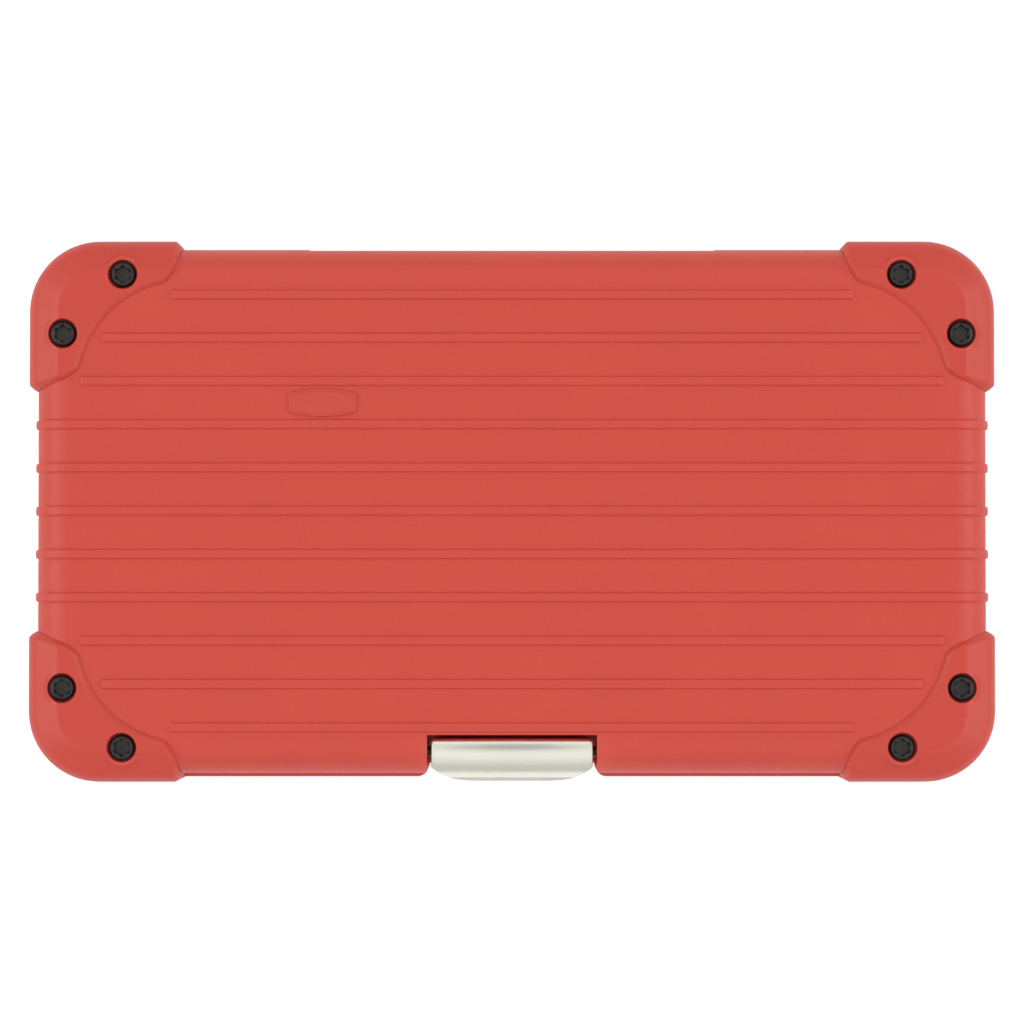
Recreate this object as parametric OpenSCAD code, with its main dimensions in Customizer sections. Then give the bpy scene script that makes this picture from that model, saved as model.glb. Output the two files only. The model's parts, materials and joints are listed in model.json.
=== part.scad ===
// Socket wrench set in a hard case. A quarter inch drive ratchet, a driver handle, two extensions,
// a universal joint, a bit holder, twelve sockets and ten bits lie in a moulded tray. The case has two
// ribbed shells with screwed-on corner guards, a pinned hinge at the back and a swing latch in front.
// +X is right, +Y is the hinge side, +Z is up. The origin is at the middle of the case's underside.

/* [Case shells] */
// Length of the shell, left to right, without the guards
shell_l = 236; // [234:1:238]
// Depth of the shell, hinge to latch, without the guards
shell_w = 130.2; // [129.6:0.2:130.6]
// Corner radius of the shell in plan
shell_r = 15.7; // [14:0.1:17]
// Height of the parting plane, half the height of the closed case
split_z = 23; // [22.6:0.1:23.4]
// Radius of the rounded edge of the shell
shell_edge = 8.5; // [7:0.5:9]
// Wall thickness of the shells
wall = 2.2; // [2:0.1:2.4]
// Gap between the two rims when the case is closed
rim_gap = 0.2; // [0.1:0.05:0.3]
// How far the rim flange stands out from the wall
flange_out = 1.3; // [0.8:0.1:1.5]

/* [Ribs and plaque] */
// Distance from rib to rib
rib_pitch = 10.7; // [10:0.1:11]
// Width of a rib
rib_w = 2.35; // [2:0.05:3]
// Height of a rib above the shell
rib_h = 0.6; // [0.4:0.1:0.8]
// Length of the blank plaque on the lid
plaque_l = 16.7; // [12:0.1:20]
// Height of the blank plaque in its middle
plaque_w = 6.85; // [6:0.05:7.5]

/* [Corner guards] */
// How far a guard stands out from the side walls
guard_out = 2.0; // [1.8:0.1:2.2]
// How far a guard stands up from the shell's face
guard_up = 1.2; // [1:0.1:1.4]
// Radius of the hollow inner edge of a guard
guard_arc = 26.9; // [25:0.1:28]
// Distance of a guard's lower edge from the parting plane
guard_foot = 3.4; // [3.4:0.1:4.4]
// Radius of a guard screw's head
screw_head_r = 3.1; // [2.8:0.1:3.2]

/* [Hinge] */
// Radius of a hinge knuckle
knuckle_r = 1.7; // [1.65:0.05:1.75]
// Length of one knuckle
knuckle_l = 8; // [6:1:12]
// Distance of each hinge from the middle of the case
hinge_x = 38; // [34:1:40]

/* [Latch] */
// Width of the latch
latch_w = 40; // [38:0.5:40]
// Radius of the latch's barrel
barrel_r = 3.3; // [3.2:0.05:3.4]
// Height of the latch's lower edge
latch_foot_z = 12; // [11.5:0.1:12.5]

/* [Tools] */
// Width across flats of the square drive
drive_af = 6.3; // [6.2:0.05:6.3]
// Width across flats of the female squares
drive_socket_af = 6.4; // [6.4:0.05:6.5]
// Height of a socket
socket_h = 25; // [24:0.5:25]
// Radius of the ratchet's head
head_r = 13.5; // [13.3:0.1:13.5]
// Number of teeth on the ratchet's gear
gear_teeth = 36; // [36:36:36]
// Radius of the driver handle's grip
grip_r = 13; // [12:0.5:13]
// Length of a bit
bit_l = 25; // [23:1:25]

/* [Hidden] */

$fn = 48;
case_red = [0.81, 0.33, 0.29];
black = [0.16, 0.16, 0.17];
steel = [0.78, 0.78, 0.8];
dark_steel = [0.45, 0.46, 0.48];
brass = [0.8, 0.66, 0.35];

// Case shells
shell_hx = shell_l / 2;
shell_hy = shell_w / 2;
face_up = 21.8;
cavity_up = face_up - wall;
cavity_edge = shell_edge - wall;
rim_up = rim_gap / 2;
flange_h = 2.5;
hinge_zone = 51;
side_zone = 30;
beyond = 300;

// Ribs: the inner five run over the ends of the shell, the others stop short of the guards
rib_short = [106.7, 101.4, 84.4];
rib_rows = 5;
ribs_over_end = 2;
plaque_at = [-46.9, 26.7];
plaque_end_w = 4.75;

// Corner guards
guard_hx = shell_hx + guard_out;
guard_hy = shell_hy + guard_out + 0.1;
guard_r = 17.6;
guard_edge = 9.5;
guard_lift = face_up + guard_up;
guard_centre = [80.7, 30.0];
guard_end_x = 82.0;
guard_end_y = 29.8;
guard_fit = 0.1;
screw_at = [[96.3, 58.5], [111.1, 43.8]];
screw_hole_r = 3.6;
cup_r = 4.6;
cup_up = 19.6;
seat_up = 20.4;
screw_top_up = 22.3;
boss_r = 5.7;
boss_up = 11;
insert_r = 2.25;
shank_r = 1.45;
lobes = 6;

// Hinge
hinge_y = 64.6;
pin_r = 0.8;
pin_fit = 0.05;
knuckle_gap = 0.3;
relief_r = knuckle_r + 0.35;
wedge_deg = 52;

// Latch: it swings about a pin near the top of the lid and snaps over a ridge on the base
latch_y = -59.6;
latch_z = 39.2;
latch_front_y = -67.2;
latch_shoulder_r = 7.6;
latch_bow_r = 58.9;
latch_back_y = -62.4;
latch_skin_y = -65.4;
latch_pin_r = 1.25;
recess_hx = latch_w / 2 + 1;
recess_back_y = -55.4;
recess_front_y = -61.5;
base_recess_y = -62.0;
base_recess_z = 9;
tub_hx = 24.4;
recess_mouth_r = 2.8;

// Tray
tray_wall = 1.1;
floor_z = split_z - cavity_up;
cup_floor_z = floor_z + 0.1 + tray_wall;
rest = 0.1;
deck_z = 22.7;
deck_t = 1.2;
skirt_z = 13.2;
tray_hx = shell_hx - wall - 0.4;
tray_hy = shell_hy - wall - 0.4;

// Rows of tools, from the hinge to the latch
ratchet_y = 44;
driver_y = 14;
extension_y = -9;
socket_y = -33;
bit_y = -52;

// Ratchet
head_x = -90;
pawl_dx = 12.5;
ratchet_z = 21.5;
head_z0 = 16;
head_z1 = 27;
gear_tip_r = 9.7;
gear_root_r = 9.0;
gear_z0 = 17.6;
gear_z1 = 24.8;
pawl_r = 6.6;
pawl_tooth_deg = 30.5;
lever_z1 = 30.6;
tang_r = 4.2;

// Driver handle, extensions and universal joint
driver_x0 = -103;
driver_grip_l = 93;
driver_z = 20.5;
bar_z = 16.5;
bar_r = 4;
female_r = 6;
female_l = 14;
ball_r = 1.1;
joint_x = 71;
joint_z = 21;
joint_bore_r = 1.3;
joint_arm_w = 6.4;
joint_arm_in = 3.5;
joint_root = 7.5;

// Sockets and bits
socket_mm = [4, 5, 5.5, 6, 7, 8, 9, 10, 11, 12, 13, 14];
socket_drive_d = 12;
socket_gap = 4.2;
bit_af = 6.35;
bit_x = [32, 45, 58, 71, 84];

function socket_od(mm) = 1.28 * mm + 1.6;
function socket_d(i) = max(socket_drive_d, socket_od(socket_mm[i]));
function sum_to(i) = i < 0 ? 0 : socket_d(i) + sum_to(i - 1);
row_l = sum_to(len(socket_mm) - 1) + socket_gap * (len(socket_mm) - 1);
function socket_x(i) = -row_l / 2 + sum_to(i - 1) + socket_gap * i + socket_d(i) / 2;

// ---- Helpers ----

// The base is the lid's mirror image in the parting plane
module flip() translate([0, 0, 2 * split_z]) mirror([0, 0, 1]) children();

// A solid drawn in the plane across the case (first axis +Y, second axis +Z), w wide along X
module across(w) rotate([90, 0, 90]) linear_extrude(height = w, center = true) children();

// A cylinder along X that starts at x0
module bar(x0, l, r) translate([x0, 0, 0]) rotate([0, 90, 0]) cylinder(h = l, r = r);

module rounded_plan(hx, hy, r) {
    square([2 * (hx - r), 2 * hy], center = true);
    square([2 * hx, 2 * (hy - r)], center = true);
    for (sx = [-1, 1], sy = [-1, 1]) translate([sx * (hx - r), sy * (hy - r)]) circle(r = r);
}

// A round corner block with its upper and lower edges rounded
module puck(r, up, edge) {
    arc = [for (a = [0 : 15 : 75]) [r - edge + edge * cos(a), up - edge + edge * sin(a)]];
    upper = concat(arc, [[r - edge, up], [0, up]]);
    lower = [for (i = [len(upper) - 1 : -1 : 0]) [upper[i][0], -upper[i][1]]];
    rotate_extrude($fn = 32) polygon(concat(lower, upper));
}

// The closed pillow shape of the whole case, centred on the parting plane
module pillow(hx, hy, r, up, edge)
    translate([0, 0, split_z]) hull() for (sx = [-1, 1], sy = [-1, 1])
        translate([sx * (hx - r), sy * (hy - r), 0]) puck(r, up, edge);

module upper_half() translate([-beyond / 2, -beyond / 2, split_z + rim_up]) cube([beyond, beyond, 60]);

// Six-lobed outline
module six_lobe(r, depth) polygon([for (a = [0 : 10 : 350])
    (r - depth / 2 + depth / 2 * cos(lobes * (a - 90))) * [cos(a), sin(a)]]);

module square_drive(l) intersection() {
    translate([-drive_af / 2, -drive_af / 2, 0]) cube([drive_af, drive_af, l]);
    cylinder(h = l, r = drive_af * 0.66);
}

module square_hole(l) translate([-drive_socket_af / 2, -drive_socket_af / 2, -1])
    cube([drive_socket_af, drive_socket_af, l + 1]);

module hex_prism(af, l) cylinder(h = l, r = af / sqrt(3), $fn = 6);

// ---- Case shells ----

module rib_bars() for (i = [-rib_rows : rib_rows]) {
    half = abs(i) <= ribs_over_end ? shell_hx + 5 : rib_short[abs(i) - ribs_over_end - 1];
    translate([-half, i * rib_pitch - rib_w / 2, 0]) cube([2 * half, rib_w, 60]);
}

module flange() difference() {
    translate([0, 0, split_z]) linear_extrude(height = flange_h)
        rounded_plan(shell_hx + flange_out, shell_hy + flange_out, shell_r + flange_out);
    translate([-hinge_zone, shell_hy - 2, 0]) cube([2 * hinge_zone, 10, 60]);
    for (sx = [-1, 1]) translate([sx * (shell_hx + 5), 0, split_z]) cube([10, 2 * side_zone, 60], center = true);
}

module half_outside() intersection() {
    union() {
        pillow(shell_hx, shell_hy, shell_r, face_up, shell_edge);
        intersection() {
            pillow(shell_hx + rib_h, shell_hy + rib_h, shell_r + rib_h, face_up + rib_h, shell_edge + rib_h);
            rib_bars();
        }
        flange();
    }
    upper_half();
}

module at_guard_screws() for (sx = [-1, 1], sy = [-1, 1], p = screw_at)
    translate([sx * p[0], sy * p[1], split_z]) children();

module screw_bosses() at_guard_screws() translate([0, 0, boss_up]) cylinder(h = 30, r = boss_r);

module screw_pockets() at_guard_screws() {
    translate([0, 0, cup_up - 0.1]) cylinder(h = 10, r = cup_r + 0.1);
    translate([0, 0, boss_up - 1]) cylinder(h = 12, r = insert_r + 0.02);
}

module inside() pillow(shell_hx - wall, shell_hy - wall, shell_r - wall, cavity_up, cavity_edge);

// Nothing of either half may lie in this wedge behind the pin, so that the lid can swing right back
module hinge_wedge() translate([0, hinge_y - 0.15, split_z]) across(beyond)
    polygon([[0, 0], [6, 6 * tan(wedge_deg)], [6, -6 * tan(wedge_deg)]]);

module at_hinges(offsets) for (sx = [-1, 1], dx = offsets)
    translate([sx * hinge_x + dx, hinge_y, split_z]) children();

knuckle_step = knuckle_l + knuckle_gap;
module knuckles(offsets) at_hinges(offsets) bar(-knuckle_l / 2, knuckle_l, knuckle_r);
module knuckle_reliefs(offsets) at_hinges(offsets)
    bar(-knuckle_l / 2 - knuckle_gap, knuckle_l + 2 * knuckle_gap, relief_r);
module pin_bores() at_hinges([0]) bar(-20, 40, pin_r + pin_fit);

module lid_recess() {
    across(2 * recess_hx) polygon([
        [recess_back_y, 60], [recess_back_y, 34.5], [recess_front_y, 30], [recess_front_y, 0], [-90, 0], [-90, 60]
    ]);
    recess_mouth();
}

// The recess opens out at the front of the wall with rounded corners
module recess_mouth() for (s = [-1, 1]) translate([s * recess_hx, -shell_hy, 0]) difference() {
    translate([-0.01, -3, 0]) mirror([s < 0 ? 1 : 0, 0, 0]) cube([recess_mouth_r, 3 + recess_mouth_r, 60]);
    translate([s * recess_mouth_r, recess_mouth_r, -1]) cylinder(h = 70, r = recess_mouth_r);
}

module lid_tub() across(2 * tub_hx) polygon([
    [recess_back_y + 2, 60], [recess_back_y + 2, 33.5], [recess_front_y + 2, 29], [recess_front_y + 2, 0],
    [-90, 0], [-90, 60]
]);

module base_recess() translate([-recess_hx, -90, base_recess_z])
    cube([2 * recess_hx, 90 + base_recess_y, 60]);

module base_tub() translate([-recess_hx - 2.2, -90, base_recess_z - 2])
    cube([2 * recess_hx + 4.4, 90 + base_recess_y + 2, 60]);

module keeper() across(26) polygon([
    [base_recess_y + 0.1, 16.5], [base_recess_y - 1.4, 17.3], [base_recess_y - 1.4, 18.7],
    [base_recess_y + 0.1, 19.5]
]);

module plaque_outline() {
    steps = 8;
    edge = [for (i = [-steps : steps]) let (t = i / steps)
        [t * plaque_l / 2, plaque_end_w / 2 + (plaque_w - plaque_end_w) / 2 * (1 - t * t)]];
    polygon(concat(edge, [for (i = [2 * steps : -1 : 0]) [edge[i][0], -edge[i][1]]]));
}

module lid_shell() color(case_red) difference() {
    union() {
        difference() {
            union() {
                half_outside();
                translate([plaque_at[0], plaque_at[1], split_z + face_up - 1]) linear_extrude(height = 1 + rib_h)
                    plaque_outline();
            }
            difference() {
                inside();
                screw_bosses();
                lid_tub();
            }
            screw_pockets();
            lid_recess();
            hinge_wedge();
        }
        knuckles([0]);
    }
    knuckle_reliefs([-knuckle_step, knuckle_step]);
    pin_bores();
    translate([0, latch_y, latch_z]) bar(-tub_hx + 0.4, 2 * tub_hx - 0.8, latch_pin_r + 0.02);
}

module base_shell() color(case_red) difference() {
    union() {
        difference() {
            flip() half_outside();
            difference() {
                inside();
                flip() screw_bosses();
                base_tub();
            }
            flip() screw_pockets();
            base_recess();
            hinge_wedge();
        }
        keeper();
        knuckles([-knuckle_step, knuckle_step]);
    }
    knuckle_reliefs([0]);
    pin_bores();
}

// ---- Corner guards and their fasteners ----

module guard_plan() difference() {
    polygon([
        [guard_end_x, guard_hy + 2], [84.7, 56.6], [107.3, 34.0], [guard_hx + 1, guard_end_y],
        [guard_hx + 1, guard_hy + 2]
    ]);
    translate(guard_centre) circle(r = guard_arc, $fn = 96);
}

module guard() difference() {
    intersection() {
        pillow(guard_hx, guard_hy, guard_r, guard_lift, guard_edge);
        union() {
            difference() {
                translate([0, 0, split_z + guard_foot]) linear_extrude(height = 40) guard_plan();
                pillow(shell_hx + guard_fit, shell_hy + guard_fit, shell_r + guard_fit, face_up + guard_fit,
                    shell_edge + guard_fit);
            }
            for (p = screw_at) translate([p[0], p[1], split_z + cup_up]) cylinder(h = 10, r = cup_r);
        }
    }
    for (p = screw_at) translate([p[0], p[1], split_z]) {
        translate([0, 0, seat_up]) cylinder(h = 10, r = screw_hole_r);
        cylinder(h = 40, r = shank_r + 0.15);
    }
}

module guard_at(sx, sy) color(case_red) mirror([sx < 0 ? 1 : 0, 0, 0]) mirror([0, sy < 0 ? 1 : 0, 0]) guard();
module lid_guard_front_left() guard_at(-1, -1);
module lid_guard_front_right() guard_at(1, -1);
module lid_guard_back_left() guard_at(-1, 1);
module lid_guard_back_right() guard_at(1, 1);
module base_guard_front_left() flip() guard_at(-1, -1);
module base_guard_front_right() flip() guard_at(1, -1);
module base_guard_back_left() flip() guard_at(-1, 1);
module base_guard_back_right() flip() guard_at(1, 1);

// Button-head screw with a six-lobed recess
module guard_screw() difference() {
    union() {
        translate([0, 0, seat_up]) rotate_extrude() polygon([
            [0, 0], [screw_head_r, 0], [screw_head_r, 0.9], [screw_head_r - 0.35, 1.4],
            [screw_head_r - 0.9, screw_top_up - seat_up], [0, screw_top_up - seat_up]
        ]);
        translate([0, 0, 13.5]) cylinder(h = seat_up - 13, r = shank_r);
    }
    translate([0, 0, screw_top_up - 1.3]) linear_extrude(height = 3) six_lobe(2.3, 0.7);
}

module guard_insert() difference() {
    translate([0, 0, 12.5]) cylinder(h = 7, r = insert_r);
    translate([0, 0, 12]) cylinder(h = 8, r = shank_r + 0.05);
}

module lid_guard_screws() color(black) at_guard_screws() guard_screw();
module base_guard_screws() color(black) flip() at_guard_screws() guard_screw();
module lid_guard_inserts() color(brass) at_guard_screws() guard_insert();
module base_guard_inserts() color(brass) flip() at_guard_screws() guard_insert();

// ---- Hinge pins, latch and foam ----

hinge_pin_l = 3 * knuckle_l + 2 * knuckle_gap;
module hinge_pins() color(steel) at_hinges([0]) bar(-hinge_pin_l / 2, hinge_pin_l, pin_r);

module latch_profile() {
    top_z = latch_z + barrel_r;
    shoulder_z = top_z - latch_shoulder_r;
    polygon(concat(
        [for (a = [90 : 7.5 : 180])
            [latch_y + latch_shoulder_r * cos(a), shoulder_z + latch_shoulder_r * sin(a)]],
        [
            [latch_front_y, latch_foot_z + 0.8], [latch_front_y + 0.8, latch_foot_z],
            [latch_back_y - 0.4, latch_foot_z], [latch_back_y, latch_foot_z + 0.4],
            [latch_back_y, latch_z - 2], [latch_y, latch_z - 2]
        ]));
    translate([latch_y, latch_z]) circle(r = barrel_r);
}

module latch() color(steel) {
    difference() {
        intersection() {
            across(latch_w) latch_profile();
            translate([0, latch_front_y + latch_bow_r, 0]) cylinder(h = 60, r = latch_bow_r, $fn = 128);
        }
        translate([-15, latch_skin_y, latch_foot_z - 1]) cube([30, 5, 22]);
        translate([0, latch_y, latch_z]) bar(-30, 60, latch_pin_r + 0.05);
    }
    across(24) polygon([
        [latch_skin_y - 0.1, 14.2], [base_recess_y - 1.6, 15.2], [base_recess_y - 1.6, 15.8],
        [latch_skin_y - 0.1, 16.8]
    ]);
}

latch_pin_l = 2 * tub_hx - 1;
module latch_pin() color(steel) translate([0, latch_y, latch_z]) bar(-latch_pin_l / 2, latch_pin_l, latch_pin_r);

module lid_foam() color(black) translate([0, 0, 36.6]) linear_extrude(height = split_z + cavity_up - 36.7)
    rounded_plan(104.5, 51.5, 8);

// ---- Tray ----

// Extrudes a pocket from its floor up through the deck, or its cup when the walls (g) are wanted
module pit(z, g) translate([0, 0, z - g])
    linear_extrude(height = (g > 0 ? deck_z - deck_t / 2 : 50) - z + g) children();

module slot(x0, x1, y, w, r, g) translate([(x0 + x1) / 2, y])
    rounded_plan((x1 - x0) / 2 + g, w / 2 + g, r + g);

module ratchet_pockets(g) {
    pit(head_z0 - rest, g) translate([head_x, ratchet_y]) circle(r = head_r + 0.9 + g);
    pit(7.4, g) translate([head_x, ratchet_y]) circle(r = 6.5 + g);
    pit(14.5, g) slot(head_x + 5, -36, ratchet_y, 22, 2, g);
    pit(11.8, g) slot(-41, 49, ratchet_y, 20, 3, g);
}

module joint_pockets(g) {
    pit(joint_z - female_r - rest, g) slot(50.5, 70, ratchet_y, 2 * female_r + 1.4, 2, g);
    pit(5.5, g) slot(64, 91, ratchet_y, 29, 8, g);
}

module driver_pockets(g) {
    pit(driver_z - grip_r - rest, g) slot(driver_x0 - 1.5, driver_x0 + driver_grip_l + 1.5, driver_y, 27.2, 5, g);
    pit(driver_z - bar_r - rest, g) slot(-20, 48, driver_y, 10, 2, g);
}

module bar_pocket(x0, x1, y, g) pit(bar_z - female_r - rest, g) slot(x0, x1, y, 2 * female_r + 1.4, 2, g);

// A trough across three tools, so that fingers can lift them out
module finger_trough(g) pit(10.4, g) slot(12, 32, 21, 70, 6, g);

module socket_cups(g) for (i = [0 : len(socket_mm) - 1]) {
    pit(cup_floor_z, g) translate([socket_x(i), socket_y]) circle(r = socket_drive_d / 2 + 0.5 + g);
    if (socket_od(socket_mm[i]) > socket_drive_d)
        pit(cup_floor_z + 10.6, g) translate([socket_x(i), socket_y])
            circle(r = socket_od(socket_mm[i]) / 2 + 0.5 + g);
}

module at_bits(list) for (i = list) translate([sign(i) * bit_x[abs(i) - 1], bit_y, cup_floor_z + rest]) children();

module bit_cups(g) for (x = bit_x, s = [-1, 1]) pit(cup_floor_z, g) translate([s * x, bit_y]) circle(r = 4.1 + g);

module pockets(g) {
    ratchet_pockets(g);
    joint_pockets(g);
    driver_pockets(g);
    bar_pocket(-104.5, 48.5, extension_y, g);
    bar_pocket(55, 98, extension_y, g);
    bar_pocket(54.5, 107.5, driver_y, g);
    finger_trough(g);
    socket_cups(g);
    bit_cups(g);
}

module tray_moulding() difference() {
    union() {
        translate([0, 0, deck_z - deck_t]) linear_extrude(height = deck_t) rounded_plan(tray_hx, tray_hy, 13);
        translate([0, 0, skirt_z]) linear_extrude(height = deck_z - skirt_z) difference() {
            rounded_plan(tray_hx, tray_hy, 13);
            rounded_plan(tray_hx - tray_wall, tray_hy - tray_wall, 13 - tray_wall);
        }
        pockets(tray_wall);
    }
    pockets(0);
    translate([-tub_hx - 1.6, -90, 0]) cube([2 * tub_hx + 3.2, 90 + base_recess_y + 3.4, 50]);
    at_hinges([-knuckle_step, 0, knuckle_step]) translate([-knuckle_l, -4, -4]) cube([2 * knuckle_l, 8, 8]);
}

// The tray is divided into panels, a hair apart, each with a pocket or two: rows first, then across each row
panel_gap = 0.05;
row_joint_x = 49.75;
socket_row_y = [-45.6, -19.2];
driver_row_y = [-0.95, 28.9];
joint_row_y = 28;

module row_of_panels(y0, y1, xs) for (i = [0 : len(xs) - 2])
    translate([xs[i] + panel_gap / 2, y0 + panel_gap / 2, 0])
        cube([xs[i + 1] - xs[i] - panel_gap, y1 - y0 - panel_gap, 50]);

edge_x = 130;
ratchet_row_xs = [-edge_x, -68, -38.5, 10, 34, row_joint_x];
joint_row_xs = [row_joint_x, 60.5, 78, 95, edge_x];
driver_row_xs = [-edge_x, -70, -4, 10, 34, row_joint_x];
short_row_xs = [row_joint_x, 80, edge_x];
extension_row_xs = [-edge_x, -50, 10, 34, 52, 78, edge_x];
bit_row_xs = [-edge_x, -77.5, -64.5, -51.5, -38.5, -25.9, 25.9, 38.5, 51.5, 64.5, 77.5, edge_x];
socket_row_xs = concat(
    [-edge_x],
    [for (i = [0 : len(socket_mm) - 2]) socket_x(i) + (socket_d(i) + socket_gap) / 2],
    [edge_x]
);

module tray_tools() color(black) intersection() {
    tray_moulding();
    union() {
        row_of_panels(driver_row_y[1], 90, ratchet_row_xs);
        row_of_panels(joint_row_y, ratchet_y, joint_row_xs);
        row_of_panels(ratchet_y, 90, joint_row_xs);
        row_of_panels(driver_row_y[0], driver_row_y[1], driver_row_xs);
        row_of_panels(driver_row_y[0], joint_row_y, short_row_xs);
        row_of_panels(socket_row_y[1], driver_row_y[0], extension_row_xs);
    }
}

module tray_sockets() color(black) intersection() {
    tray_moulding();
    row_of_panels(socket_row_y[0], socket_row_y[1], socket_row_xs);
}

module tray_bits() color(black) intersection() {
    tray_moulding();
    row_of_panels(-90, socket_row_y[0], bit_row_xs);
}

// ---- Ratchet ----

module at_head() translate([head_x, ratchet_y, 0]) children();
module at_pawl() translate([head_x + pawl_dx, ratchet_y, 0]) children();

// Pear outline: the drive end and the smaller pawl end, joined by flats a hair inside their tangents
pear_inset = 0.05;
module pear(r, r2) {
    t = acos((r - r2) / pawl_dx);
    a = r - pear_inset;
    b = r2 - pear_inset;
    circle(r = r);
    translate([pawl_dx, 0]) circle(r = r2);
    polygon([
        a * [cos(t), sin(t)], a * [cos(t), -sin(t)],
        [pawl_dx, 0] + b * [cos(t), -sin(t)], [pawl_dx, 0] + b * [cos(t), sin(t)]
    ]);
}

cover_t = 1.2;
cover_screw_deg = [52, -52, 180];
module at_cover_screws() at_head() for (a = cover_screw_deg) rotate([0, 0, a]) translate([11.4, 0, head_z0]) children();

module ratchet_handle() color(steel) difference() {
    union() {
        at_head() translate([0, 0, head_z0]) linear_extrude(height = head_z1 - head_z0) pear(head_r, 8.8);
        translate([head_x + pawl_dx + 5, ratchet_y, ratchet_z]) rotate([0, 90, 0])
            cylinder(h = 32.5, r1 = 5.3, r2 = 4.4);
        translate([-45, ratchet_y, ratchet_z]) bar(0, 87, tang_r);
    }
    at_head() translate([0, 0, head_z0 - 1]) linear_extrude(height = 1 + cover_t + 0.05) pear(12.7, 8.0);
    at_head() translate([0, 0, head_z0]) cylinder(h = gear_z1 + 0.2 - head_z0, r = 10.1);
    at_pawl() translate([0, 0, head_z0]) cylinder(h = gear_z1 + 0.2 - head_z0, r = pawl_r + 0.35);
    at_head() cylinder(h = 60, r = 4.7);
    at_pawl() cylinder(h = 60, r = 2.3);
    at_cover_screws() cylinder(h = 5.2, r = 0.8);
    translate([head_x + pawl_dx, ratchet_y, ratchet_z]) bar(4, 11, 1.15);
}

module ratchet_grip() color(black) difference() {
    translate([-38, ratchet_y, ratchet_z]) rotate([0, 90, 0]) rotate_extrude() polygon([
        [0, 0], [6.2, 0], [7.2, 1], [7.6, 6], [7.0, 16], [7.3, 30], [8.6, 52], [9.0, 70],
        [8.7, 79], [7.2, 83], [4.5, 84.5], [0, 84.5]
    ]);
    translate([-39, ratchet_y, ratchet_z]) bar(0, 81.2, tang_r + 0.05);
}

module ratchet_cover() color(steel) difference() {
    at_head() translate([0, 0, head_z0]) linear_extrude(height = cover_t) pear(12.65, 7.95);
    at_head() cylinder(h = 60, r = 5.6);
    at_cover_screws() {
        translate([0, 0, -1]) cylinder(h = 5, r = 0.85);
        translate([0, 0, -0.01]) cylinder(h = 0.61, r1 = 1.35, r2 = 0.85);
    }
}

module ratchet_cover_screws() color(dark_steel) at_cover_screws() difference() {
    union() {
        translate([0, 0, 0.02]) cylinder(h = 0.55, r1 = 1.3, r2 = 0.78);
        translate([0, 0, 0.5]) cylinder(h = 4.3, r = 0.78);
    }
    translate([-0.2, -1.5, -0.3]) cube([0.4, 3, 0.6]);
}

module gear_outline() polygon([for (i = [0 : 2 * gear_teeth - 1])
    let (a = 180 * i / gear_teeth, r = i % 2 == 0 ? gear_root_r : gear_tip_r) r * [cos(a), sin(a)]]);

// Gear, hub and square in one piece, bored for the release button
module ratchet_drive() color(steel) at_head() difference() {
    union() {
        translate([0, 0, gear_z0]) linear_extrude(height = gear_z1 - gear_z0) gear_outline();
        translate([0, 0, gear_z1 - 0.1]) cylinder(h = 2, r = 4.62);
        translate([0, 0, head_z0 - 0.6]) cylinder(h = gear_z0 - head_z0 + 0.7, r = 5.5);
        translate([0, 0, 8.5]) square_drive(8);
    }
    translate([0, 0, 9.6]) cylinder(h = 14, r = ball_r + 0.1);
    translate([0, 0, 22.7]) cylinder(h = 10, r = 2.45);
    translate([0, 0, 11.5]) rotate([90, 0, 0]) cylinder(h = 6, r = ball_r + 0.05);
}

module ratchet_drive_ball() color(dark_steel) at_head() translate([0, -2.42, 11.5]) sphere(r = ball_r, $fn = 24);

module ratchet_button() color(steel) at_head() {
    translate([0, 0, 24.4]) cylinder(h = 3.4, r = 2.38);
    translate([0, 0, 27.7]) cylinder(h = 0.5, r1 = 2.38, r2 = 1.9);
    translate([0, 0, 11.2]) cylinder(h = 13.3, r = ball_r);
}

// Rocking pawl: one of its two teeth meets the gear when the lever is thrown
module pawl_tooth() polygon([
    10.1 * [cos(pawl_tooth_deg), sin(pawl_tooth_deg)],
    10.7 * [cos(pawl_tooth_deg + 1.6), sin(pawl_tooth_deg + 1.6)],
    10.9 * [cos(pawl_tooth_deg - 2.2), sin(pawl_tooth_deg - 2.2)],
    10.5 * [cos(pawl_tooth_deg - 2.2), sin(pawl_tooth_deg - 2.2)]
]);

module ratchet_pawl() color(dark_steel) at_head() translate([0, 0, gear_z0]) {
    t = gear_z1 - gear_z0;
    difference() {
        translate([pawl_dx, 0, 0]) cylinder(h = t, r = pawl_r);
        translate([0, 0, -1]) cylinder(h = t + 2, r = 10.5, $fn = 96);
        translate([pawl_dx, 0, -1]) cylinder(h = t + 2, r = 1.65);
        translate([pawl_dx + pawl_r - 0.5, -pawl_r, -1]) cube([2, 2 * pawl_r, t + 2]);
        translate([pawl_dx + pawl_r, 0, ratchet_z - gear_z0]) sphere(r = 0.9, $fn = 24);
    }
    for (s = [0, 1]) mirror([0, s, 0]) linear_extrude(height = t) pawl_tooth();
}

module ratchet_lever() color(steel) at_pawl() {
    translate([0, 0, 17.5]) cylinder(h = 7.7, r = 1.6);
    translate([0, 0, 25.1]) cylinder(h = 2.2, r = 2.2);
    translate([0, 0, head_z1 + 0.2]) linear_extrude(height = 1.6) {
        circle(r = 6.4);
        translate([0, -2]) square([12, 4]);
        translate([12, 0]) circle(r = 2);
    }
    translate([10.4, -1.9, head_z1 + 1.7]) cube([1.8, 3.8, lever_z1 - head_z1 - 1.7]);
}

// Coil spring and ball that hold the pawl
module ratchet_detent() color(dark_steel) translate([head_x + pawl_dx, ratchet_y, ratchet_z]) {
    translate([pawl_r + 0.55, 0, 0]) sphere(r = 0.85, $fn = 24);
    bar(8.2, 6.4, 0.95);
}

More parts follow.
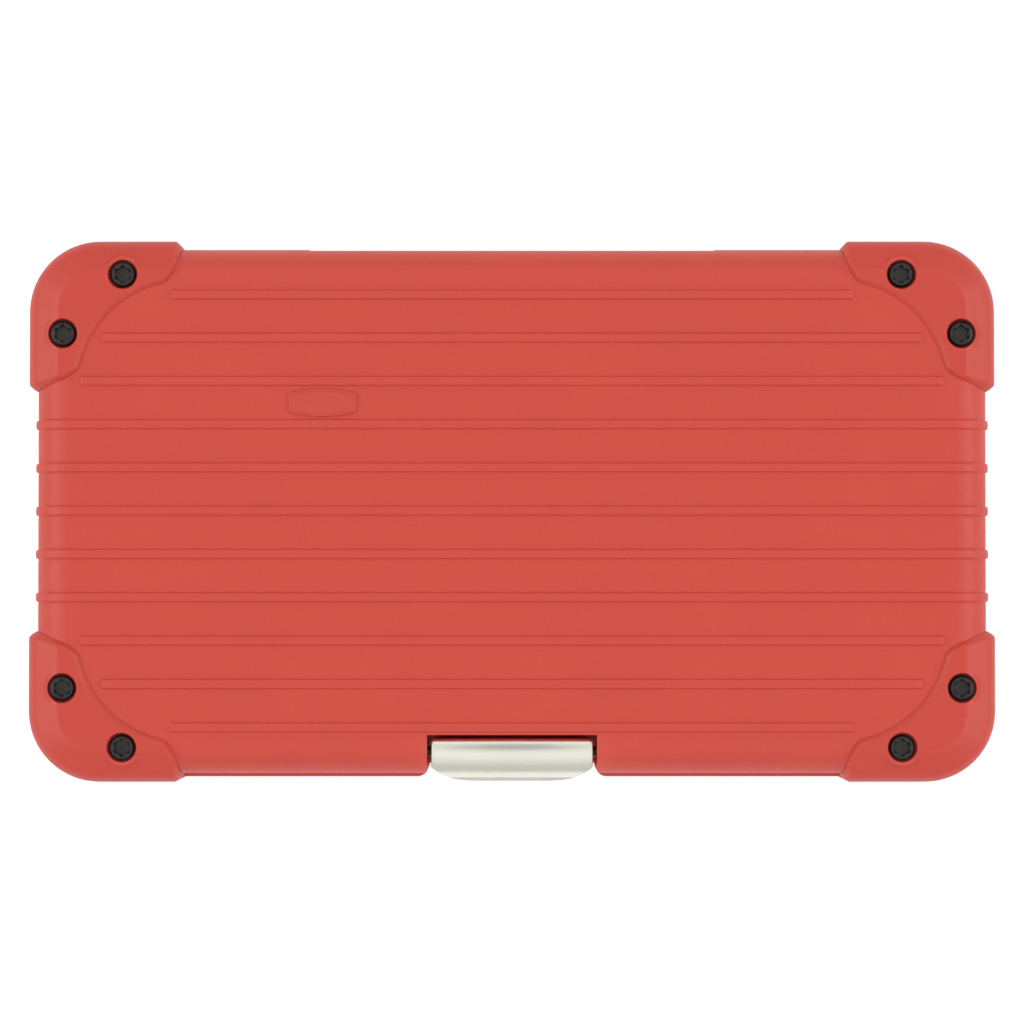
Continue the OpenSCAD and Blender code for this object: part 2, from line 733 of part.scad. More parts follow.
// ---- Driver handle, extensions, bit holder ----

module at_driver() translate([driver_x0, driver_y, driver_z]) children();

module driver_grip() color(black) difference() {
    at_driver() rotate([0, 90, 0]) rotate_extrude() polygon([
        [0, 0], [7, 0], [10.5, 1.2], [12.4, 4], [grip_r, 10], [grip_r, 52], [12.2, 60], [9.4, 72],
        [9.0, 80], [10.2, 88], [10, 91], [8.6, driver_grip_l], [0, driver_grip_l]
    ]);
    at_driver() bar(driver_grip_l - 45, 50, bar_r + 0.02);
}

// A ball in the flank of a male square
module drive_ball(x, y, z) color(dark_steel) translate([x, y - 2.42, z]) sphere(r = ball_r, $fn = 24);
module ball_hole(x) translate([x, 0, 0]) rotate([90, 0, 0]) cylinder(h = 6, r = ball_r + 0.05);
module ball_hole_floor(x) translate([x, -1.2, 0]) rotate([90, 0, 0]) cylinder(h = 6, r = ball_r + 0.05);

module male_end(x0, l) translate([x0, 0, 0]) rotate([0, 90, 0]) square_drive(l);

driver_end = 148;
module driver_shaft() color(steel) at_driver() difference() {
    union() {
        bar(driver_grip_l - 44.5, driver_end - 9 - driver_grip_l + 44.5, bar_r);
        male_end(driver_end - 9.5, 9.5);
    }
    ball_hole_floor(driver_end - 4);
}
module driver_ball() drive_ball(driver_x0 + driver_end - 4, driver_y, driver_z);

module extension(l) color(steel) difference() {
    union() {
        bar(0, female_l, female_r);
        translate([female_l, 0, 0]) rotate([0, 90, 0]) cylinder(h = 3, r1 = female_r, r2 = bar_r);
        bar(female_l + 2.9, l - female_l - 11.9, bar_r);
        male_end(l - 9.5, 9.5);
    }
    rotate([0, 90, 0]) square_hole(9.5);
    ball_hole_floor(l - 4);
}

long_l = 150;
short_l = 50;
long_x = -103;
short_x = 56;
module long_extension() translate([long_x, extension_y, bar_z]) extension(long_l);
module long_extension_ball() drive_ball(long_x + long_l - 4, extension_y, bar_z);
module short_extension() translate([short_x, driver_y, bar_z]) extension(short_l);
module short_extension_ball() drive_ball(short_x + short_l - 4, driver_y, bar_z);

module bit_holder() color(steel) translate([57, extension_y, bar_z]) difference() {
    union() {
        bar(0, 22, female_r);
        bar(21.9, 18.1, 5.4);
    }
    rotate([0, 90, 0]) square_hole(9.5);
    translate([25, 0, 0]) rotate([0, 90, 0]) hex_prism(bit_af + 0.15, 20);
    bar(22, 4, 2.05);
}
module bit_holder_magnet() color(dark_steel) translate([57, extension_y, bar_z]) bar(22.2, 3, 2);

// ---- Universal joint ----

module at_joint() translate([joint_x, ratchet_y, joint_z]) children();

// Two arms on either side of the cross, with round ends and a cross hole
module fork_arms() intersection() {
    bar(-joint_root - 0.1, 20, female_r);
    difference() {
        for (s = [-1, 1]) translate([0, 0, s * (joint_arm_in + 2)]) linear_extrude(height = 4, center = true) {
            translate([-10, -joint_arm_w / 2]) square([10, joint_arm_w]);
            circle(r = joint_arm_w / 2);
        }
        cylinder(h = 30, r = joint_bore_r, center = true);
    }
}

module joint_socket_fork() color(steel) at_joint() {
    difference() {
        bar(-19, 19 - joint_root, female_r);
        translate([-19, 0, 0]) rotate([0, 90, 0]) square_hole(8.5);
    }
    fork_arms();
}

module joint_cross() color(dark_steel) at_joint() {
    cube(joint_arm_w, center = true);
    cylinder(h = 11.4, r = joint_bore_r - 0.05, center = true);
    rotate([90, 0, 0]) cylinder(h = 11.4, r = joint_bore_r - 0.05, center = true);
}

module joint_drive_fork() color(steel) at_joint() difference() {
    union() {
        mirror([1, 0, 0]) rotate([90, 0, 0]) fork_arms();
        bar(joint_root, 3, female_r);
        male_end(joint_root + 2.9, 8.6);
    }
    ball_hole_floor(joint_root + 7.5);
}
module joint_ball() drive_ball(joint_x + joint_root + 7.5, ratchet_y, joint_z);

// ---- Sockets ----

module socket(i) {
    mm = socket_mm[i];
    od = socket_od(mm);
    r0 = socket_drive_d / 2;
    r1 = od / 2;
    color(steel) translate([socket_x(i), socket_y, cup_floor_z + rest]) difference() {
        rotate_extrude() polygon([
            [0, 0], [r0 - 0.4, 0], [r0, 0.4], [r0, 11], [r1, 13], [r1, socket_h - 0.4], [r1 - 0.4, socket_h],
            [0, socket_h]
        ]);
        square_hole(9);
        translate([0, 0, 14]) hex_prism(mm + 0.1, 20);
        cylinder(h = socket_h, r = min(mm / 2 - 0.2, 3));
    }
}

module socket_4mm() socket(0);
module socket_5mm() socket(1);
module socket_5_5mm() socket(2);
module socket_6mm() socket(3);
module socket_7mm() socket(4);
module socket_8mm() socket(5);
module socket_9mm() socket(6);
module socket_10mm() socket(7);
module socket_11mm() socket(8);
module socket_12mm() socket(9);
module socket_13mm() socket(10);
module socket_14mm() socket(11);

// ---- Bits ----

bit_body = 17;
module bit_blank(tip_r) {
    hex_prism(bit_af, bit_body);
    translate([0, 0, bit_body]) cylinder(h = 1.4, r1 = bit_af / 2, r2 = tip_r);
    translate([0, 0, bit_body + 1.3]) cylinder(h = bit_l - bit_body - 1.3, r = tip_r);
}

module bits_phillips() color(dark_steel) at_bits([-5, -4, -3]) difference() {
    union() {
        bit_blank(2.6);
        translate([0, 0, bit_l - 0.1]) cylinder(h = 1.6, r1 = 2.2, r2 = 0.7);
    }
    for (a = [45 : 90 : 315]) rotate([0, 0, a]) translate([0.8, -0.9, bit_l - 5]) cube([5, 1.8, 8]);
}

module bits_slotted() color(dark_steel) at_bits([-2, -1]) difference() {
    bit_blank(2.7);
    for (s = [-1, 1]) translate([-4, s * 2.5, bit_l - 5]) rotate([s * 8, 0, 0])
        translate([0, s > 0 ? -1 : -3, 0]) cube([8, 4, 8]);
}

module bits_hex() color(dark_steel) at_bits([1, 2]) {
    bit_blank(2.2);
    translate([0, 0, bit_l - 4]) hex_prism(4, 5);
}

module bits_torx() color(dark_steel) at_bits([3, 4, 5]) {
    bit_blank(1.8);
    translate([0, 0, bit_l - 4]) linear_extrude(height = 5) six_lobe(2.2, 0.6);
}

base_shell();
lid_shell();
lid_guard_front_left();
lid_guard_front_right();
lid_guard_back_left();
lid_guard_back_right();
base_guard_front_left();
base_guard_front_right();
base_guard_back_left();
base_guard_back_right();
lid_guard_screws();
base_guard_screws();
lid_guard_inserts();
base_guard_inserts();
hinge_pins();
latch();
latch_pin();
lid_foam();
tray_tools();
tray_sockets();
tray_bits();
ratchet_handle();
ratchet_grip();
ratchet_cover();
ratchet_cover_screws();
ratchet_drive();
ratchet_drive_ball();
ratchet_button();
ratchet_pawl();
ratchet_lever();
ratchet_detent();
driver_grip();
driver_shaft();
driver_ball();
long_extension();
long_extension_ball();
short_extension();
short_extension_ball();
joint_socket_fork();
joint_cross();
joint_drive_fork();
joint_ball();
bit_holder();
bit_holder_magnet();
socket_4mm();
socket_5mm();
socket_5_5mm();
socket_6mm();
socket_7mm();
socket_8mm();
socket_9mm();
socket_10mm();
socket_11mm();
socket_12mm();
socket_13mm();
socket_14mm();
bits_phillips();
bits_slotted();
bits_hex();
bits_torx();
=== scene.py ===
import json
import math
from collections import namedtuple

import bmesh
import bpy
import numpy as np
from mathutils import Matrix, Vector, noise


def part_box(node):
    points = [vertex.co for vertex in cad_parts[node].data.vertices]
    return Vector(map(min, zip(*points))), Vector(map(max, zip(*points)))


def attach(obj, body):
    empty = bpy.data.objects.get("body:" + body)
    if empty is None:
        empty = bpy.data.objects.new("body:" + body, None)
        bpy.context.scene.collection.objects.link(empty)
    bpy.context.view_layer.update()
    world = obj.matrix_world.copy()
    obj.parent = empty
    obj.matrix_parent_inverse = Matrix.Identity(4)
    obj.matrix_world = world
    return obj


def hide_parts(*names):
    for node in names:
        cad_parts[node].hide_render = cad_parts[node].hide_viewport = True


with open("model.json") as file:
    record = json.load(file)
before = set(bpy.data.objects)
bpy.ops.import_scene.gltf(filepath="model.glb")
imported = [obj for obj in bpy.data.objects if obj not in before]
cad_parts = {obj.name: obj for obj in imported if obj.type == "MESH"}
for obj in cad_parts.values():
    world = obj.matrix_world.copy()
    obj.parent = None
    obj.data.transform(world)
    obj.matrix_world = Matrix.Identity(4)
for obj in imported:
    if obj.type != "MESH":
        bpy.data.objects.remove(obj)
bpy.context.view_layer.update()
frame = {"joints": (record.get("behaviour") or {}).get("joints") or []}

# The meshes are worked out in millimetres, in the frame's own axes, and scaled once when they are made.
MM = 0.001


def low_high(node):
    """The lowest and highest corners of a CAD node, in millimetres."""
    low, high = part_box(node)
    return np.array(low) / MM, np.array(high) / MM


joints = {j["name"]: j for j in frame["joints"]}


def middle(node):
    """The middle of a CAD node's box."""
    low, high = low_high(node)
    return (low + high) / 2


def joint_point(name):
    """A joint's place, in millimetres."""
    return np.array(joints[name]["pos_m"]) / MM


# ---- driving sizes

LID_HIGH = low_high("lid_shell")[1]
GUARD_HIGH = low_high("lid_guard_back_right")[1]
HINGE = joint_point("lid_hinge")
LATCH = joint_point("latch_hinge")
SPLIT_Z = HINGE[2]
RIM_Z = SPLIT_Z + 0.1
# Beyond every surface of the case, for the open ends of cutters
ABOVE = 60
BEYOND = 90
RIB_H = 0.6
RIB_W = 2.35
RIB_PITCH = 10.7
# The ribs are numbered from the middle one; where the outer ones end in x
RIB_ENDS = {3: 106.7, 4: 101.4, 5: 84.4}
LAST_RIB = 5
# A pillow: half its length and depth, its corners' radius, its height from the parting plane, its top edge
Pillow = namedtuple("Pillow", "hx hy r up edge", defaults=(0, 0))
SHELL = Pillow(118.0, 65.1, 15.7, LID_HIGH[2] - SPLIT_Z - RIB_H, 8.5)
WALL = 2.2
GUARD = Pillow(GUARD_HIGH[0], GUARD_HIGH[1], 17.6, GUARD_HIGH[2] - SPLIT_Z)
# A guard's hollow inner edge is an arc; its two ends leave the arc at this angle and meet the outline here
GUARD_CENTRE = np.array([80.7, 30.0])
GUARD_ARC = 26.9
GUARD_END_DEG = 8.5
GUARD_END_X = 82.0
GUARD_END_Y = 29.8
GUARD_FOOT = 3.4
SCREWS = [(96.3, 58.5), (111.1, 43.8)]


def linked(name, data):
    """A new object in the scene."""
    obj = bpy.data.objects.new(name, data)
    bpy.context.scene.collection.objects.link(obj)
    return obj


# ---- camera

# Almost straight down on the lid, leaning a little to the latch side; degrees and metres
CAMERA_ELEVATION = 88.6
CAMERA_DISTANCE = 1.0
CAMERA_SENSOR_MM = 36
TARGET_Y = 0.0002
# Width of what the camera sees at its target
VIEW_WIDTH = 0.2587


def make_camera():
    data = bpy.data.cameras.new("camera")
    cam = linked("camera", data)
    lean = math.radians(CAMERA_ELEVATION)
    back = Vector((0, -math.cos(lean), math.sin(lean)))
    target = Vector((0, TARGET_Y, SPLIT_Z * MM))
    cam.location = target + back * CAMERA_DISTANCE
    cam.rotation_mode = "QUATERNION"
    cam.rotation_quaternion = (-back).to_track_quat("-Z", "Y")
    data.sensor_width = CAMERA_SENSOR_MM
    data.lens = CAMERA_SENSOR_MM * CAMERA_DISTANCE / VIEW_WIDTH
    data.clip_start = 0.05
    data.clip_end = 20
    bpy.context.scene.camera = cam


make_camera()


# ---- mesh helpers

def without_repeats(face):
    """A face's points, each of them once."""
    return list(dict.fromkeys(face))


def mesh_object(verts, faces, name="part"):
    """A mesh object from points in millimetres, with its normals turned outwards."""
    mesh = bpy.data.meshes.new(name)
    mesh.from_pydata([tuple(v) for v in np.asarray(verts, float) * MM], [], faces)
    bm = bmesh.new()
    bm.from_mesh(mesh)
    bmesh.ops.remove_doubles(bm, verts=bm.verts, dist=1e-7)
    bmesh.ops.recalc_face_normals(bm, faces=bm.faces)
    bm.to_mesh(mesh)
    bm.free()
    return linked(name, mesh)


def bake(obj):
    """Applies an object's modifiers to its mesh."""
    graph = bpy.context.evaluated_depsgraph_get()
    mesh = bpy.data.meshes.new_from_object(obj.evaluated_get(graph))
    obj.modifiers.clear()
    obj.data = mesh
    return obj


def combine(obj, others, operation):
    """Boolean of obj with each of the others, which are used up."""
    for other in others:
        mod = obj.modifiers.new("cut", "BOOLEAN")
        mod.operation = operation
        mod.solver = "MANIFOLD"
        mod.object = other
        bake(obj)
        bpy.data.objects.remove(other)
    return obj


def cut(obj, *others):
    """Takes the others away from obj."""
    return combine(obj, others, "DIFFERENCE")


def join(obj, *others):
    """Adds the others to obj."""
    return combine(obj, others, "UNION")


def rounded(obj, width, segments=2, angle=40):
    """Rounds the sharp edges, width in millimetres."""
    mod = obj.modifiers.new("edges", "BEVEL")
    mod.width = width * MM
    mod.segments = segments
    mod.limit_method = "ANGLE"
    mod.angle_limit = math.radians(angle)
    return bake(obj)


def smooth(obj, angle=34):
    """Smooth shading, with the edges sharper than the angle left sharp."""
    obj.data.shade_smooth()
    obj.data.set_sharp_from_angle(angle=math.radians(angle))
    return obj


def loft(rings):
    """Closed solid through rings of points, all of the same length, with a flat face at each end."""
    n, verts = len(rings[0]), [p for ring in rings for p in ring]
    faces = [list(range(n)), list(range(len(verts) - n, len(verts)))]
    for a in range(0, len(verts) - n, n):
        faces += [[a + i, a + (i + 1) % n, a + n + (i + 1) % n, a + n + i] for i in range(n)]
    return mesh_object(verts, faces)


def thick_sheet(outer, inner):
    """Closed solid between two grids of points of the same size, as rows of points."""
    n, m = len(outer), len(outer[0])
    verts = [p for row in outer for p in row] + [p for row in inner for p in row]
    under = n * m
    faces = []
    for i in range(n - 1):
        for j in range(m - 1):
            a, d = i * m + j, (i + 1) * m + j
            faces += [[a, a + 1, d + 1, d], [under + d, under + d + 1, under + a + 1, under + a]]
    rim = [(i, 0) for i in range(n)] + [(n - 1, j) for j in range(1, m)]
    rim += [(i, m - 1) for i in range(n - 2, -1, -1)] + [(0, j) for j in range(m - 2, 0, -1)]
    rim = [i * m + j for i, j in rim]
    faces += [[a, b, under + b, under + a] for a, b in zip(rim, rim[1:] + rim[:1])]
    return mesh_object(verts, faces)


def prism(points, low, high, axis="x"):
    """Closed prism: points are (y, z) for an x prism, (x, z) for y and (x, y) for z."""
    put = {
        "x": lambda p, t: (t, p[0], p[1]),
        "y": lambda p, t: (p[0], t, p[1]),
        "z": lambda p, t: (p[0], p[1], t),
    }[axis]
    return loft([[put(p, low) for p in points], [put(p, high) for p in points]])


def block(low, high):
    """Box between two opposite corners."""
    (x0, y0, z0), (x1, y1, z1) = low, high
    return prism([(x0, y0), (x1, y0), (x1, y1), (x0, y1)], z0, z1, "z")


def lathe(profile, centre=(0, 0, 0), axis="z", sides=64):
    """Closed solid of revolution: profile is (radius, height) from the axis back to the axis."""
    turns = [2 * math.pi * i / sides for i in range(sides)]
    rings, verts = [], []
    for r, h in profile:
        count = 1 if r < 1e-9 else sides
        rings.append(list(range(len(verts), len(verts) + count)))
        verts += [(r * math.cos(t), r * math.sin(t), h) for t in turns[:count]]
    faces = []
    for a, b in zip(rings, rings[1:]):
        for i in range(sides):
            j = (i + 1) % sides
            faces.append(without_repeats([a[i % len(a)], a[j % len(a)], b[j % len(b)], b[i % len(b)]]))
    faces = [f for f in faces if len(f) > 2]
    turn = {"z": lambda p: p, "x": lambda p: (p[2], p[0], p[1]), "y": lambda p: (p[1], p[2], p[0])}[axis]
    return mesh_object(np.array([turn(p) for p in verts]) + np.array(centre), faces)


def rod(centre, radius, low, high, axis="z", sides=48, chamfer=0.0):
    """Cylinder along an axis from low to high, its ends chamfered if asked."""
    if chamfer:
        profile = [(0, low), (radius - chamfer, low), (radius, low + chamfer)]
        profile += [(radius, high - chamfer), (radius - chamfer, high), (0, high)]
    else:
        profile = [(0, low), (radius, low), (radius, high), (0, high)]
    return lathe(profile, centre, axis, sides)


def mirrored(obj, x=False, y=False, base=False):
    """A copy of a right-hand, hinge-side lid piece for another corner, or for the base."""
    verts = np.zeros(len(obj.data.vertices) * 3)
    obj.data.vertices.foreach_get("co", verts)
    verts = verts.reshape(-1, 3) / MM
    verts[:, 0] *= -1 if x else 1
    verts[:, 1] *= -1 if y else 1
    if base:
        verts[:, 2] = 2 * SPLIT_Z - verts[:, 2]
    return smooth(mesh_object(verts, [tuple(p.vertices) for p in obj.data.polygons]))


def arc_points(centre, radius, start, stop, steps):
    """Points on an arc, angles in degrees."""
    angles = np.radians(np.linspace(start, stop, steps + 1))
    return [(centre[0] + radius * math.cos(a), centre[1] + radius * math.sin(a)) for a in angles]


def place(obj, name, body, material, slot, *nodes):
    """Finishes a piece: its name and material, the body it rides on and the CAD nodes it stands for."""
    obj.name = name
    obj.data.materials.clear()
    obj.data.materials.append(material)
    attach(obj, body)
    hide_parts(*nodes)


# ---- materials

# Metres: how far the painted shade in corners reaches, and the radius of the edges that catch the light
CREVICE = 0.0012
SOFT_EDGE = 0.00025


def tinted(colour, factor, lift=0.0):
    """A colour made darker or lighter."""
    return tuple(np.minimum(np.array(colour) * factor + lift, 1))


def constants(node, values):
    """Puts constants on a node's sockets."""
    for socket, value in values.items():
        node.inputs[socket].default_value = value
    return node


class Nodes:
    """A material's node tree, with short calls for the nodes that the finishes share."""

    def __init__(self, name):
        self.material = bpy.data.materials.new(name)
        self.material.use_nodes = True
        self.tree = self.material.node_tree
        self.shader = self.tree.nodes["Principled BSDF"]
        self.coords = self.tree.nodes.new("ShaderNodeTexCoord").outputs["Object"]

    def add(self, kind, inputs=None, **values):
        """A new node with its properties, and with constants on its inputs."""
        node = self.tree.nodes.new("ShaderNode" + kind)
        for key, value in values.items():
            setattr(node, key, value)
        return constants(node, inputs or {})

    def link(self, source, node, socket):
        self.tree.links.new(source, node.inputs[socket])

    def stretched(self, scale):
        node = self.add("Mapping", {"Scale": scale})
        self.link(self.coords, node, "Vector")
        return node.outputs["Vector"]

    def noise(self, scale, detail=3, rough=0.55, stretch=None):
        node = self.add("TexNoise", {"Scale": scale, "Detail": detail, "Roughness": rough})
        self.link(self.stretched(stretch) if stretch else self.coords, node, "Vector")
        return node.outputs["Fac"]

    def ramp(self, source, stops):
        node = self.add("ValToRGB")
        elements = node.color_ramp.elements
        while len(elements) < len(stops):
            elements.new(0.5)
        for element, (at, colour) in zip(elements, stops):
            element.position = at
            element.color = colour if len(colour) == 4 else (*colour, 1)
        self.link(source, node, "Fac")
        return node.outputs["Color"]

    def range(self, source, low, high, from_low=0.0, from_high=1.0):
        node = self.add("MapRange", {"From Min": from_low, "From Max": from_high,
                                     "To Min": low, "To Max": high})
        self.link(source, node, "Value")
        return node.outputs["Result"]

    def mix(self, factor, a, b):
        node = self.add("Mix", data_type="RGBA")
        for socket, value in ((0, factor), (6, a), (7, b)):
            if isinstance(value, bpy.types.NodeSocket):
                self.tree.links.new(value, node.inputs[socket])
            elif socket == 0:
                node.inputs[0].default_value = value
            else:
                node.inputs[socket].default_value = (*value, 1)
        return node.outputs[2]

    def crevice(self, distance):
        """Ambient occlusion for the painted corner shade: 1 in the open, towards 0 in a tight corner."""
        return self.add("AmbientOcclusion", {"Distance": distance}, samples=8).outputs["AO"]

    def dusty(self, colour, shade_colour, dark, low, high):
        """The colour with a darker one painted into corners as shade, where the crevice value is between low
        and high.
        """
        return self.mix(self.range(self.crevice(CREVICE), dark, 0.0, low, high), colour, tuple(shade_colour))

    def finish(self, colour, roughness, height, strength, depth):
        """Links the colour, roughness and fine relief, with edges that catch the light."""
        self.link(colour, self.shader, "Base Color")
        self.link(roughness, self.shader, "Roughness")
        bevel = self.add("Bevel", {"Radius": SOFT_EDGE}, samples=4)
        bump = self.add("Bump", {"Strength": strength, "Distance": depth})
        self.link(height, bump, "Height")
        self.link(bevel.outputs["Normal"], bump, "Normal")
        self.link(bump.outputs["Normal"], self.shader, "Normal")
        return self.material


def moulded_plastic(name, colour, roughness=0.42, grain=0.2, wear=0.16):
    """Moulded plastic: faint blotches, fine spark grain, painted shade in the corners and paler edges."""
    n = Nodes(name)
    broad = n.noise(38, 4, 0.6)
    speck = n.noise(1500, 2, 0.7)
    base = n.ramp(broad, [(0.3, tinted(colour, 0.978)), (0.7, tinted(colour, 1.022))])
    base = n.mix(n.range(speck, 0, 0.10, 0.45, 0.8), base, tinted(colour, 1.25, 0.02))
    # Painted shade: darker in corners and creases, where ambient occlusion finds them
    base = n.dusty(base, tinted(colour, 0.32), 0.92, 0.0, 0.55)
    edge = n.add("NewGeometry").outputs["Pointiness"]
    base = n.mix(n.range(edge, 0, wear, 0.505, 0.56), base, tinted(colour, 1.35, 0.03))
    rough = n.range(n.noise(260, 3, 0.6), roughness - 0.05, roughness + 0.07)
    grains = n.noise(2600, 2, 0.6)
    constants(n.shader, {"Specular IOR Level": 0.45})
    return n.finish(base, rough, grains, grain, 0.00006)


def brushed_metal(name, colour, stretch=(1, 30, 30), roughness=0.3):
    """Metal with fine lines along the axis that is stretched least."""
    n = Nodes(name)
    lines = n.noise(90, 6, 0.75, stretch)
    stain = n.noise(55, 4, 0.6)
    base = n.ramp(lines, [(0.25, tinted(colour, 0.93)), (0.75, tinted(colour, 1.03))])
    base = n.mix(n.range(stain, 0, 0.2, 0.45, 0.75), base, tinted(colour, 0.82))
    # Painted shade: darker in corners and hollows, where ambient occlusion finds them
    base = n.dusty(base, tinted(colour, 0.3), 0.5, 0.2, 0.9)
    rough = n.range(lines, roughness - 0.06, roughness + 0.08)
    constants(n.shader, {"Metallic": 1.0})
    return n.finish(base, rough, lines, 0.2, 0.00002)


def plated_steel(name, colour, roughness):
    """Plated or oxidised steel: a smooth skin with pits, light scratches and stains."""
    n = Nodes(name)
    stain = n.noise(120, 5, 0.65)
    scratch = n.noise(700, 4, 0.8, (1, 6, 1))
    base = n.ramp(stain, [(0.3, tinted(colour, 0.88)), (0.75, tinted(colour, 1.05))])
    # Painted shade: darker in corners and hollows, where ambient occlusion finds them
    base = n.dusty(base, tinted(colour, 0.25), 0.6, 0.2, 0.9)
    rough = n.range(scratch, roughness - 0.05, roughness + 0.10, 0.3, 0.75)
    constants(n.shader, {"Metallic": 1.0})
    return n.finish(base, rough, scratch, 0.1, 0.00001)


def linear(r, g, b):
    """An sRGB colour of 0 to 255 as linear light."""
    def one(c):
        c /= 255
        return c / 12.92 if c <= 0.04045 else ((c + 0.055) / 1.055) ** 2.4
    return (one(r), one(g), one(b))


RED = moulded_plastic("shell_red", linear(205, 70, 56))
GUARD_RED = moulded_plastic("guard_red", linear(202, 67, 53), roughness=0.4)
ALUMINIUM = brushed_metal("brushed_aluminium", (0.92, 0.905, 0.80), stretch=(1, 34, 34), roughness=0.25)
BLACK_OXIDE = plated_steel("black_oxide", (0.062, 0.056, 0.056), roughness=0.42)
CHROME = plated_steel("satin_chrome", (0.70, 0.70, 0.71), roughness=0.2)
PHOSPHATE = plated_steel("phosphated_steel", (0.16, 0.16, 0.165), roughness=0.45)
BRASS = brushed_metal("machined_brass", (0.62, 0.42, 0.16), roughness=0.3)
TRAY_BLACK = moulded_plastic("tray_black", (0.018, 0.018, 0.02), roughness=0.55, grain=0.35, wear=0.3)
GRIP_BLACK = moulded_plastic("grip_black", (0.013, 0.013, 0.014), roughness=0.6, grain=0.5, wear=0.2)
FOAM = moulded_plastic("foam_black", (0.02, 0.02, 0.021), roughness=0.9, grain=1.0, wear=0.1)
DRIVER_RED = moulded_plastic("driver_grip_red", linear(150, 34, 30), roughness=0.35, grain=0.15)
NUMBER_WHITE = moulded_plastic("number_white", linear(205, 205, 200), roughness=0.5)


# ---- case shells

def grown(shape, out):
    """The same pillow shape, larger all round."""
    return Pillow(*(value + out for value in shape))


def ease(t):
    """Smooth step from 0 to 1."""
    t = min(max(t, 0.0), 1.0)
    return t * t * (3 - 2 * t)


def rib_relief(x, y):
    """Height of the ribs, and of the fine crease round them, at a point of the shell's plan."""
    row = min(LAST_RIB, max(-LAST_RIB, round(y / RIB_PITCH)))
    end = RIB_ENDS.get(abs(row), 1000)
    inside = -max(abs(x) - end, abs(y - row * RIB_PITCH) - RIB_W / 2)
    crease = math.exp(-(((inside + 0.32) / 0.16) ** 2))
    crown = math.sin(min(max(inside / (RIB_W / 2), 0.0), 1.0) * math.pi / 2)
    return RIB_H * (0.72 * ease((inside + 0.1) / 0.34) + 0.28 * crown) - 0.08 * crease


# Distances from a rib's middle, and from its end, at which the shell has mesh lines
RIB_STEPS = [0.0, 0.55, 0.86, 0.97, 1.06, 1.14, 1.22, 1.3, 1.4, 1.5, 1.62, 1.8, 2.1]
RIB_END_STEPS = [0.5, 0.3, 0.15, 0.0]
CORNER_STEPS = 14


def around(values, steps):
    """Each value with the steps to either side of it."""
    return [v + s * d for v in values for d in steps for s in (-1, 1)]


def sorted_unique(values, low, high, gap=0.05):
    """The values between low and high in order, without those closer than the gap to the one before."""
    kept = [low]
    for v in sorted(values):
        if v > kept[-1] + gap and v < high - gap:
            kept.append(v)
    return kept + [high]


CORNERS = [(sx, sy) for sx in (-1, 1) for sy in (-1, 1)]


def pillow_solid(shape, floor, relief=None):
    """Closed upper half of the case's pillow shape, down to floor, with a relief raised along its normal."""
    core_x, core_y = shape.hx - shape.r, shape.hy - shape.r
    flat = shape.r - shape.edge
    xs, ys, outs = [-core_x, 0, core_x], [-core_y, 0, core_y], [0, flat]
    if relief:
        ends = [-RIB_ENDS[4], -RIB_ENDS[5], RIB_ENDS[5], RIB_ENDS[4]]
        xs = around(ends, RIB_END_STEPS) + list(np.linspace(-core_x, core_x, 33))
        ys = around([RIB_PITCH * i for i in range(-4, 5)], RIB_STEPS)
        ys += around([RIB_PITCH * (i + 0.5) for i in range(-4, 4)], [0.0, 1.6])
        outs = around([LAST_RIB * RIB_PITCH - core_y], RIB_STEPS)
        outs += around([RIB_ENDS[3] - core_x], RIB_END_STEPS)
        xs, ys, outs = (sorted_unique(xs, -core_x, core_x), sorted_unique(ys, -core_y, core_y),
                        sorted_unique(outs, 0, flat))
    # Profile: (how far out from the core, height, normal out, normal up)
    profile = [(s, shape.up, 0.0, 1.0) for s in outs[:-1]]
    turns = [math.pi / 2 * i / CORNER_STEPS for i in range(CORNER_STEPS + 1)]
    for a in turns:
        profile.append((flat + shape.edge * math.sin(a), shape.up - shape.edge * (1 - math.cos(a)),
                        math.sin(a), math.cos(a)))
    profile += [(shape.r, shape.up - shape.edge - 4, 1, 0), (shape.r, floor - SPLIT_Z, 1, 0)]

    verts, faces, index = [], [], {}

    def vertex(x, y, z, normal):
        key = (round(x, 4), round(y, 4), round(z, 4))
        if key not in index:
            index[key] = len(verts)
            lift = relief(x, y) if relief else 0.0
            verts.append((x + normal[0] * lift, y + normal[1] * lift, SPLIT_Z + z + normal[2] * lift))
        return index[key]

    def grid(rows):
        for a, b in zip(rows, rows[1:]):
            for i in range(len(a) - 1):
                quad = without_repeats([a[i], a[i + 1], b[i + 1], b[i]])
                if len(quad) > 2:
                    faces.append(quad)

    grid([[vertex(x, y, shape.up, (0, 0, 1)) for x in xs] for y in ys])
    for s in (-1, 1):
        grid([[vertex(s * (core_x + o), y, z, (s * no, 0, nu)) for o, z, no, nu in profile] for y in ys])
        grid([[vertex(x, s * (core_y + o), z, (0, s * no, nu)) for o, z, no, nu in profile] for x in xs])
    for sx, sy in CORNERS:
        grid([[vertex(sx * (core_x + o * math.cos(t)), sy * (core_y + o * math.sin(t)), z,
                      (sx * no * math.cos(t), sy * no * math.sin(t), nu)) for o, z, no, nu in profile]
              for t in turns])
    obj = mesh_object(verts, faces)
    bm = bmesh.new()
    bm.from_mesh(obj.data)
    rim = [e for e in bm.edges if e.is_boundary]
    bmesh.ops.edgeloop_fill(bm, edges=rim)
    bmesh.ops.recalc_face_normals(bm, faces=bm.faces)
    bm.to_mesh(obj.data)
    bm.free()
    return obj


